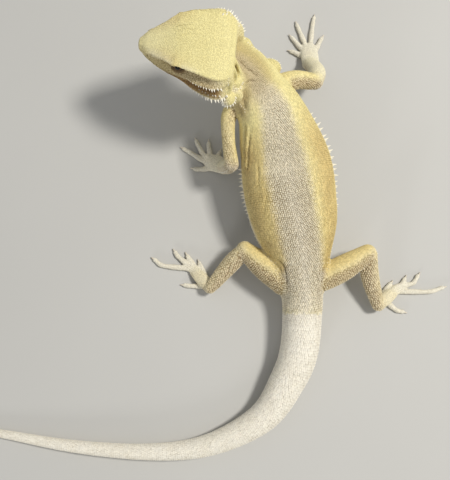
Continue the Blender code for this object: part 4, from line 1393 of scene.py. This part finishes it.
# ---------------------------------------------------------------- materials
# For the base colour and each marking: a scale's crest, and the gap round it, darker partly by the
# skin's own colour and partly as painted shade.
BASE = ((0.85, 0.77, 0.38), (0.64, 0.53, 0.20))
MARKINGS = (
    ("gold", (0.79, 0.65, 0.30), (0.46, 0.31, 0.08)),
    # Tan: the cheeks' and the rough legs' own colour, and also painted shade on the left of the
    # neck and on the cheeks.
    ("tan", (0.90, 0.80, 0.54), (0.34, 0.23, 0.09)),
    ("lilac", (0.94, 0.88, 0.70), (0.39, 0.32, 0.20)),
    ("cream", (0.93, 0.90, 0.80), (0.62, 0.55, 0.44)),
    # Dark reddish brown: the flanks' own mottling, the dark lid rims and the rear of the legs, and
    # also painted shade on the jaw, the lower side of the head, the top of the neck and the
    # shoulder hollows.
    ("rust", (0.34, 0.20, 0.06), (0.13, 0.06, 0.015)),
)
IVORY = (0.92, 0.88, 0.76)
CLAW_COLOUR = (0.74, 0.66, 0.52)
# The eardrum's dark brown is partly its own colour and partly painted shade in the ear's hollow.
EARDRUM_AND_SHADE_COLOUR = (0.22, 0.14, 0.08)
# Pupil, iris and surround: share of a quarter turn from the eye's axis, and colour.
EYE_STOPS = ((0.0, (0.002, 0.002, 0.002)), (0.19, (0.002, 0.002, 0.002)),
             (0.22, (0.13, 0.055, 0.012)), (0.33, (0.09, 0.045, 0.015)),
             (0.40, (0.02, 0.012, 0.007)), (0.6, (0.012, 0.008, 0.006)))


def new_material(name):
    """A material, its nodes and its shader."""
    made = bpy.data.materials.new(name)
    made.use_nodes = True
    return made, made.node_tree, made.node_tree.nodes["Principled BSDF"]


def value_of(tree, name):
    """A number that the mesh carries at each point."""
    node = tree.nodes.new("ShaderNodeAttribute")
    node.attribute_name = name
    return node.outputs["Fac"]


def math_node(tree, operation, a, b, clamp=False):
    """Two numbers or sockets put together by one operation."""
    node = tree.nodes.new("ShaderNodeMath")
    node.operation = operation
    node.use_clamp = clamp
    for socket, value in zip(node.inputs, (a, b)):
        if isinstance(value, (int, float)):
            socket.default_value = value
        else:
            tree.links.new(value, socket)
    return node.outputs[0]


def mixed(tree, amount, low, high, blend="MIX"):
    """A mix of two colours or sockets."""
    node = tree.nodes.new("ShaderNodeMix")
    node.data_type = "RGBA"
    node.blend_type = blend
    for key, value in (("Factor", amount), ("A", low), ("B", high)):
        sockets = [s for s in node.inputs if s.name == key and s.enabled]
        if isinstance(value, (int, float)):
            sockets[0].default_value = value
        elif isinstance(value, tuple):
            sockets[0].default_value = (*value, 1.0)
        else:
            tree.links.new(value, sockets[0])
    return next(s for s in node.outputs if s.enabled)


def noise_of(tree, scale, detail=3.0):
    """Noise with this many waves to a metre."""
    place = tree.nodes.new("ShaderNodeTexCoord")
    node = tree.nodes.new("ShaderNodeTexNoise")
    node.inputs["Scale"].default_value = scale
    node.inputs["Detail"].default_value = detail
    tree.links.new(place.outputs["Object"], node.inputs["Vector"])
    return node.outputs["Fac"]


def hide_material():
    """Ground and scales alike: markings, darker gaps that are partly painted shade, pale keels, and
    a fine grain.
    """
    made, tree, shader = new_material("hide")
    crest, gap = BASE
    for mark, high, low in MARKINGS:
        amount = value_of(tree, mark)
        crest = mixed(tree, amount, crest, high)
        gap = mixed(tree, amount, gap, low)
    # Low parts of each scale take the gap colour: partly the darker skin between scales, partly
    # painted shade under the raised tips.
    depth = math_node(tree, "SUBTRACT", 1.0, value_of(tree, "relief"))
    depth = math_node(tree, "MULTIPLY", depth, value_of(tree, "gaps"), clamp=True)
    colour = mixed(tree, depth, crest, gap)
    chance = math_node(tree, "MULTIPLY", value_of(tree, "chance"), 0.30)
    colour = mixed(tree, 1.0, colour, math_node(tree, "ADD", chance, 0.80), "MULTIPLY")
    slow = math_node(tree, "MULTIPLY", noise_of(tree, 160.0), 0.30)
    colour = mixed(tree, slow, colour, mixed(tree, 1.0, colour, (0.72, 0.62, 0.42), "MULTIPLY"))
    colour = mixed(tree, value_of(tree, "pale"), colour, IVORY)
    tree.links.new(colour, shader.inputs["Base Color"])
    rough = math_node(tree, "ADD", math_node(tree, "MULTIPLY", noise_of(tree, 900.0), 0.25), 0.45)
    tree.links.new(rough, shader.inputs["Roughness"])
    bump = tree.nodes.new("ShaderNodeBump")
    bump.inputs["Strength"].default_value = 0.25
    bump.inputs["Distance"].default_value = 0.0001
    tree.links.new(noise_of(tree, 2600.0, 2.0), bump.inputs["Height"])
    tree.links.new(bump.outputs["Normal"], shader.inputs["Normal"])
    shader.inputs["Specular IOR Level"].default_value = 0.4
    return made


def plain_material(name, colour, roughness):
    """One colour with a fine darker grain."""
    made, tree, shader = new_material(name)
    grain = math_node(tree, "MULTIPLY", noise_of(tree, 1500.0), 0.4)
    tint = mixed(tree, grain, colour, tuple(0.6 * c for c in colour))
    tree.links.new(tint, shader.inputs["Base Color"])
    shader.inputs["Roughness"].default_value = roughness
    return made


def eye_material():
    """Pupil, amber iris and dark surround, by the angle from the eye's own axis."""
    made, tree, shader = new_material("eye")
    ramp = tree.nodes.new("ShaderNodeValToRGB")
    while len(ramp.color_ramp.elements) < len(EYE_STOPS):
        ramp.color_ramp.elements.new(0.5)
    for element, (place, colour) in zip(ramp.color_ramp.elements, EYE_STOPS):
        element.position = place
        element.color = (*colour, 1.0)
    tree.links.new(value_of(tree, "aim"), ramp.inputs[0])
    tree.links.new(ramp.outputs[0], shader.inputs["Base Color"])
    shader.inputs["Roughness"].default_value = 0.06
    shader.inputs["Specular IOR Level"].default_value = 0.22
    return made


# ---------------------------------------------------------------- spines, claws, eyes and ears
SPINE_SIDES = 7
SPINE_DROOP = np.array((0.0, 0.0, -0.12))
SPINE_ROOT = 0.3         # how deep under the skin a spine starts
SPINE_PROFILE = ((-0.15, 1.0), (0.05, 1.0), (0.3, 0.78), (0.6, 0.45), (0.85, 0.2), (1.0, 0.03))


def cone_rings(root, way, length, radius):
    """Rings of points round a spine that droops a little, and how far along it each one is."""
    way = unit(way)
    side = unit(np.cross(way, UP + 0.01))
    top = np.cross(side, way)
    points, tips = [], []
    for share, size in SPINE_PROFILE:
        middle = root + way * length * share + SPINE_DROOP * length * max(share, 0) ** 2
        for k in range(SPINE_SIDES):
            a = 2 * math.pi * k / SPINE_SIDES
            points.append(middle + (side * math.cos(a) + top * math.sin(a)) * radius * size)
            tips.append(share)
    return points, tips


def tube_faces(rings, sides, start=0):
    """Faces between rings of points, closed at both ends."""
    faces = []
    for r in range(rings - 1):
        for k in range(sides):
            a, b = start + r * sides + k, start + r * sides + (k + 1) % sides
            faces.append((a, b, b + sides, a + sides))
    last = start + (rings - 1) * sides
    return faces + [tuple(range(start, start + sides))[::-1], tuple(range(last, last + sides))]


def cones(name, spines, skin, material, pale=0.9):
    """One joined mesh of spines: each is its root, way, length and radius."""
    points, faces, marks, tips = [], [], [], []
    for root, way, length, radius in spines:
        faces += tube_faces(len(SPINE_PROFILE), SPINE_SIDES, len(points))
        rings, shares = cone_rings(root, way, length, radius)
        points += rings
        tips += shares
        marks += [root] * len(rings)
    thing = mesh_object(name, np.array(points), faces)
    data = thing.data
    data.shade_smooth()
    verts = nearest(skin.tree, np.array(marks))[0]
    for mark in MARKS:
        write_float(data, mark, skin.fields[mark][verts])
    write_float(data, "relief", np.ones(len(points)))
    write_float(data, "pale", pale * smooth(-0.1, 0.4, np.array(tips)))
    finish(thing, material, "hide")


def planted(skin, places, lengths, lean, rng, width=0.29):
    """Spines on the skin nearest to each place, leaning off its normal by the vector lean."""
    verts = nearest(skin.tree, places)[0]
    found = []
    for v, length in zip(verts, lengths):
        length = length * rng.uniform(0.85, 1.12)
        way = unit(skin.normals[v]) + np.asarray(lean) + rng.normal(0, 0.07, 3)
        root = skin.points[v] - unit(skin.normals[v]) * SPINE_ROOT
        found.append((root, way, length + SPINE_ROOT, width * length + 0.12))
    return found


def spaced(path, pitch):
    """Places a pitch apart along a smooth path, and how far along it each one is, from 0 to 1."""
    path = np.asarray(path, float)
    fine = curve(path, np.linspace(0, len(path) - 1, 30 * len(path)))
    run = np.concatenate(([0.0], np.cumsum(np.linalg.norm(np.diff(fine, axis=0), axis=1))))
    want = np.arange(0.0, run[-1], pitch)
    return np.stack([np.interp(want, run, fine[:, k]) for k in range(3)], -1), want / run[-1]


def flank_path(loft, side, start, end, turn):
    """The line along a flank at an angle from the middle of the back."""
    t = np.linspace(start, end, 14)
    i = np.interp(t, loft.t, range(len(loft.t)))
    return loft.at(i, np.full(len(i), turn * side % 360 / 360 * GRID_SIDES))


# Rows of spines on the flanks: side, start and end along the spine, degrees from the middle of
# the back, pitch, and length at the start, in the middle and at the end.
FLANK_ROWS = (
    (-1, 3.55, 6.6, 88, 3.7, (2.6, 3.3, 1.6)), (-1, 3.7, 6.7, 80, 3.7, (1.0, 1.5, 0.9)),
    (-1, 3.7, 6.9, 97, 3.5, (1.2, 1.7, 0.9)), (-1, 6.5, 8.0, 90, 2.8, (1.0, 0.8, 0.6)),
    (1, 4.75, 6.3, 88, 2.5, (2.4, 2.6, 1.4)), (1, 4.9, 6.4, 97, 2.8, (1.2, 1.5, 0.9)),
    (1, 6.2, 8.0, 90, 2.6, (1.3, 1.0, 0.7)),
    (-1, 7.6, 10.0, 74, 3.1, (0.9, 1.1, 0.9)), (1, 7.6, 10.0, 74, 3.1, (0.9, 1.1, 0.9)),
    (-1, 8.0, 10.0, 58, 3.5, (0.7, 0.9, 0.7)), (1, 8.0, 10.0, 58, 3.5, (0.7, 0.9, 0.7)),
)
# Rows on both sides of the head: x and z on its side, pitch, and length at the start and end.
HEAD_ROWS = (
    (((22.0, 3.9), (15.0, 3.8), (8.0, 3.8), (2.0, 3.6)), 1.55, (0.7, 1.9)),
    (((20.0, -5.6), (12.0, -6.6), (4.0, -7.0), (-1.0, -6.0)), 1.9, (1.1, 3.2)),
    (((21.0, -7.6), (12.0, -9.0), (4.0, -9.6), (-1.0, -9.0)), 1.9, (1.0, 2.6)),
    (((15.0, -3.6), (8.0, -4.0), (2.0, -4.0)), 2.0, (0.8, 1.7)),
    (((-1.2, 7.5), (-1.4, 5.0), (-1.2, 1.5)), 1.5, (0.5, 0.9)),
)
# Rows at places on the skin: path, pitch, length at the start and at the end, and lean.
PLACED_ROWS = (
    (((0.6, 114.5, 84.0), (5.0, 114.2, 80.0), (8.2, 113.0, 77.0), (10.2, 111.0, 74.0),
      (10.8, 108.0, 72.0)), 1.9, (2.4, 1.5), (0.3, 0.3, 0.2)),
    (((-0.5, 112.5, 87.0), (3.5, 112.4, 82.0), (7.0, 111.0, 80.0), (9.0, 108.6, 77.5)),
     2.2, (1.7, 1.1), (0.3, 0.3, 0.1)),
    (((13.2, 106.5, 71.0), (16.0, 103.0, 67.0), (18.0, 100.5, 62.0)), 1.9, (1.0, 0.9), (0, 0, 0)),
    (((24.0, 105.0, 48.0), (29.0, 105.4, 47.0), (33.0, 102.5, 46.0), (34.5, 98.5, 45.0)),
     1.7, (1.0, 1.0), (0.1, 0.1, 0.0)),
    (((5.4, 79.2, 66.0), (7.6, 78.2, 65.5), (9.8, 79.6, 66.0), (11.0, 81.5, 67.0)),
     1.2, (1.1, 1.1), (0.1, -0.5, 0.0)),
    (((-2.4, 71.6, 66.0), (-0.5, 69.4, 65.0), (2.0, 68.8, 64.5), (4.6, 70.2, 65.0),
      (6.2, 73.0, 66.0)), 1.35, (2.1, 1.5), (0.0, -0.6, -0.2)),
    (((-2.2, 70.6, 62.6), (1.4, 68.2, 62.0), (5.4, 70.6, 61.6)), 1.5, (2.0, 1.4), (0, -0.6, -0.3)),
    (((8.6, 72.5, 53.5), (11.2, 71.0, 53.0), (12.4, 69.0, 52.0)), 1.3, (0.8, 0.8), (0, 0, 0)),
)
# Rows along the rear of the legs: loft, start and end along it, pitch and length.
LIMB_ROWS = (
    ("upper_arm_left", 1.5, 3.0, 1.8, 1.2), ("forearm_left", 0.0, 1.0, 1.7, 1.2),
    ("upper_arm_right", 0.9, 2.0, 2.2, 0.8), ("thigh_left", 0.6, 1.8, 1.9, 0.9),
    ("thigh_right", 0.5, 1.8, 1.9, 1.0), ("shin_left", 0.1, 0.9, 1.9, 0.8),
    ("shin_right", 0.1, 0.9, 1.9, 0.8),
)
BACK_LEAN = 0.3
DOWN_LEAN = 0.15


def flank_spines(skin, spine, rng):
    """The fringe of both flanks."""
    found = []
    for side, start, end, turn, pitch, (first, middle, last) in FLANK_ROWS:
        places, share = spaced(flank_path(spine, side, start, end, turn), pitch)
        lengths = np.interp(share, (0, 0.12, 0.6, 1), (first, middle, middle, last))
        found += planted(skin, places, lengths, (0.0, 0.0, 0.15), rng)
    return found


def head_spines(skin, rng):
    """The rows on both sides of the head, leaning back."""
    found = []
    forward, _, up = head_axes()
    lean = -forward * BACK_LEAN - up * DOWN_LEAN
    for side in (1, -1):
        for path, pitch, (first, last) in HEAD_ROWS:
            places, share = spaced(side_line(path, side), pitch)
            found += planted(skin, places, first + (last - first) * share, lean, rng)
    return found


def placed_spines(skin, lofts, rng):
    """The rows on folds and legs."""
    found = []
    for path, pitch, (first, last), lean in PLACED_ROWS:
        places, share = spaced(path, pitch)
        found += planted(skin, places, first + (last - first) * share, lean, rng)
    for name, start, end, pitch, length in LIMB_ROWS:
        loft = next(loft for loft in lofts if loft.name == name)
        t = np.linspace(start, end, 8)
        i = np.interp(t, loft.t, range(len(loft.t)))
        rear = 0.75 if name.endswith("left") else 0.25
        places, share = spaced(loft.at(i, np.full(8, rear * GRID_SIDES)), pitch)
        found += planted(skin, places, np.full(len(places), length), (0, 0, 0.2), rng)
    return found


CLAW_RINGS = 9
CLAW_SIDES = 10
EYE_GRID = (48, 32)
EARDRUM_GRID = (28, 16)
EARDRUM_RADII = (2.3, 0.8, 2.7)
EARDRUM_SUNK = 2.5       # how far inside the side of the head its middle lies


def claw_piece(middle, tip, name):
    """A curved claw from inside the end of its digit to the floor."""
    tip, middle = np.array((*tip, 0.0)), np.array((*middle, 0.0))
    way = unit(tip - middle)
    side = np.cross(way, UP)
    base = tip - way * (CLAW_LENGTH + 0.9) + UP * (DIGIT_HEIGHTS[-1] + 0.1)
    peak = tip - way * CLAW_LENGTH * 0.45 + UP * (DIGIT_HEIGHTS[-1] + 0.75)
    end = tip + UP * CLAW_TIP_HEIGHT * 0.7
    points = []
    for f in np.linspace(0, 1, CLAW_RINGS).tolist():
        p = base * (1 - f) ** 2 + peak * 2 * f * (1 - f) + end * f * f
        top = np.cross(side, unit((peak - base) * (1 - f) + (end - peak) * f))
        radius = CLAW_RADIUS * 1.05 * (1 - f) ** 0.75 + 0.05
        for k in range(CLAW_SIDES):
            a = 2 * math.pi * k / CLAW_SIDES
            points.append(p + side * math.cos(a) * radius * 0.8 + top * math.sin(a) * radius)
    thing = mesh_object(name, np.array(points), tube_faces(CLAW_RINGS, CLAW_SIDES))
    thing.data.shade_smooth()
    return thing


def build_claws(material):
    """One claw on each digit."""
    for name, digits in DIGITS.items():
        for number, (_, middle, tip) in enumerate(digits, 1):
            claw = claw_piece(middle, tip, f"horn_{name}_{number}")
            finish(claw, material, "claw", f"claw_{name}_{number}")


def build_eyes(material):
    """Both eyeballs, each point with its angle from the eye's axis."""
    for side, label in ((1, "left"), (-1, "right")):
        points, faces = ball_mesh((0, 0, 0), [EYE_RADIUS] * 3, *EYE_GRID)
        out = eye_frame(side)[0]
        aim = np.arccos(np.clip(unit(points) @ out, -1, 1)) / math.pi * 2
        thing = mesh_object("eyeball_" + label, points + eye_centre(side), faces)
        thing.data.shade_smooth()
        write_float(thing.data, "aim", aim)
        finish(thing, material, "eye", "eye_" + label)


def build_ears(material):
    """Both eardrums, dark partly as painted shade in the ear's hollow."""
    for side, label in ((1, "left"), (-1, "right")):
        x, _, z = EAR_PLACE
        points, faces = ball_mesh((0, 0, 0), EARDRUM_RADII, *EARDRUM_GRID)
        forward, left, up = head_axes()
        points = points[:, :1] * forward + points[:, 1:2] * left + points[:, 2:] * up
        place = head_side(x, z, side) - left * side * EARDRUM_SUNK
        thing = mesh_object("eardrum_" + label, points + place, faces)
        thing.data.shade_smooth()
        finish(thing, material, "ear", "ear_" + label)


# ---------------------------------------------------------------- the stage
CAMERA_RISE = 82.0
CAMERA_AWAY = 405.0
LENS = 46.05
SENSOR = 36.0
FLOOR_HALF = 3000
FLOOR_COLOURS = ((0.50, 0.49, 0.46), (0.54, 0.53, 0.50))
SKY_COLOUR = (0.95, 0.97, 1.0, 1.0)
SKY_STRENGTH = 0.40
LIGHT_TARGET = (0, 0, 0.02)
# Name, place, watts, size and colour.
LIGHTS = (
    ("key", (0.72, 0.16, 1.15), 15.0, 0.22, (1.0, 0.98, 0.94)),
    ("fill", (-0.355, -0.915, 0.30), 1.8, 0.16, (0.98, 0.99, 1.0)),
)


def look(thing, place, target):
    """Put a light or a camera in its place, pointed at the target."""
    thing.location = place
    way = Vector(target) - Vector(place)
    thing.rotation_euler = way.to_track_quat("-Z", "Y").to_euler()


def add_light(name, place, power, size, colour):
    """A square soft light."""
    data = bpy.data.lights.new(name, "AREA")
    data.energy = power
    data.size = size
    data.color = colour
    thing = linked(name, data)
    look(thing, place, LIGHT_TARGET)
    thing.visible_camera = False


def build_floor():
    """A plain pale floor under the frame's middle."""
    corners = [(x * FLOOR_HALF, y * FLOOR_HALF, 0) for x, y in ((-1, -1), (1, -1), (1, 1), (-1, 1))]
    floor = mesh_object("floor", np.array(corners) - SHIFT / MM, [(0, 1, 2, 3)])
    made, tree, shader = new_material("floor")
    tint = mixed(tree, noise_of(tree, 6.0), *FLOOR_COLOURS)
    tree.links.new(tint, shader.inputs["Base Color"])
    shader.inputs["Roughness"].default_value = 0.85
    floor.data.materials.append(made)


def build_camera():
    """The camera, tipped down at the design's own middle."""
    rise = math.radians(CAMERA_RISE)
    data = bpy.data.cameras.new("camera")
    data.sensor_width = SENSOR
    data.lens = LENS
    data.clip_start = 0.01
    camera = linked("camera", data)
    back = np.array((0.0, -math.cos(rise), math.sin(rise)))
    look(camera, SHIFT + back * CAMERA_AWAY * MM, SHIFT)
    bpy.context.scene.camera = camera


def build_stage():
    """Floor, soft light all round, two lights and the camera."""
    build_floor()
    world = bpy.data.worlds.new("studio")
    bpy.context.scene.world = world
    world.use_nodes = True
    sky = world.node_tree.nodes["Background"]
    sky.inputs["Color"].default_value = SKY_COLOUR
    sky.inputs["Strength"].default_value = SKY_STRENGTH
    for light in LIGHTS:
        add_light(*light)
    build_camera()
    bpy.context.scene.view_settings.view_transform = "Standard"


def main():
    """Skin, coat, spines, claws, eyes, ears and stage, in this order."""
    inside, outside = all_lofts(1), all_lofts(0)
    thing = detailed_skin(inside)
    skin = Skin(thing, outside)
    hide = hide_material()
    for mark in MARKS:
        write_float(thing.data, mark, skin.fields[mark])
    finish(thing, hide, "hide", *FLESH)
    build_coat(skin, hide)
    spine = outside[0]
    rng = np.random.default_rng(SEED)
    cones("fringe_spines", flank_spines(skin, spine, rng), skin, hide, pale=0.7)
    cones("head_spines", head_spines(skin, rng), skin, hide)
    cones("fold_spines", placed_spines(skin, outside, rng), skin, hide)
    build_claws(plain_material("claw", CLAW_COLOUR, 0.35))
    build_eyes(eye_material())
    build_ears(plain_material("ear", EARDRUM_AND_SHADE_COLOUR, 0.5))
    build_stage()


FLESH = [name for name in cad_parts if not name.startswith(("eye", "ear", "claw"))]
main()
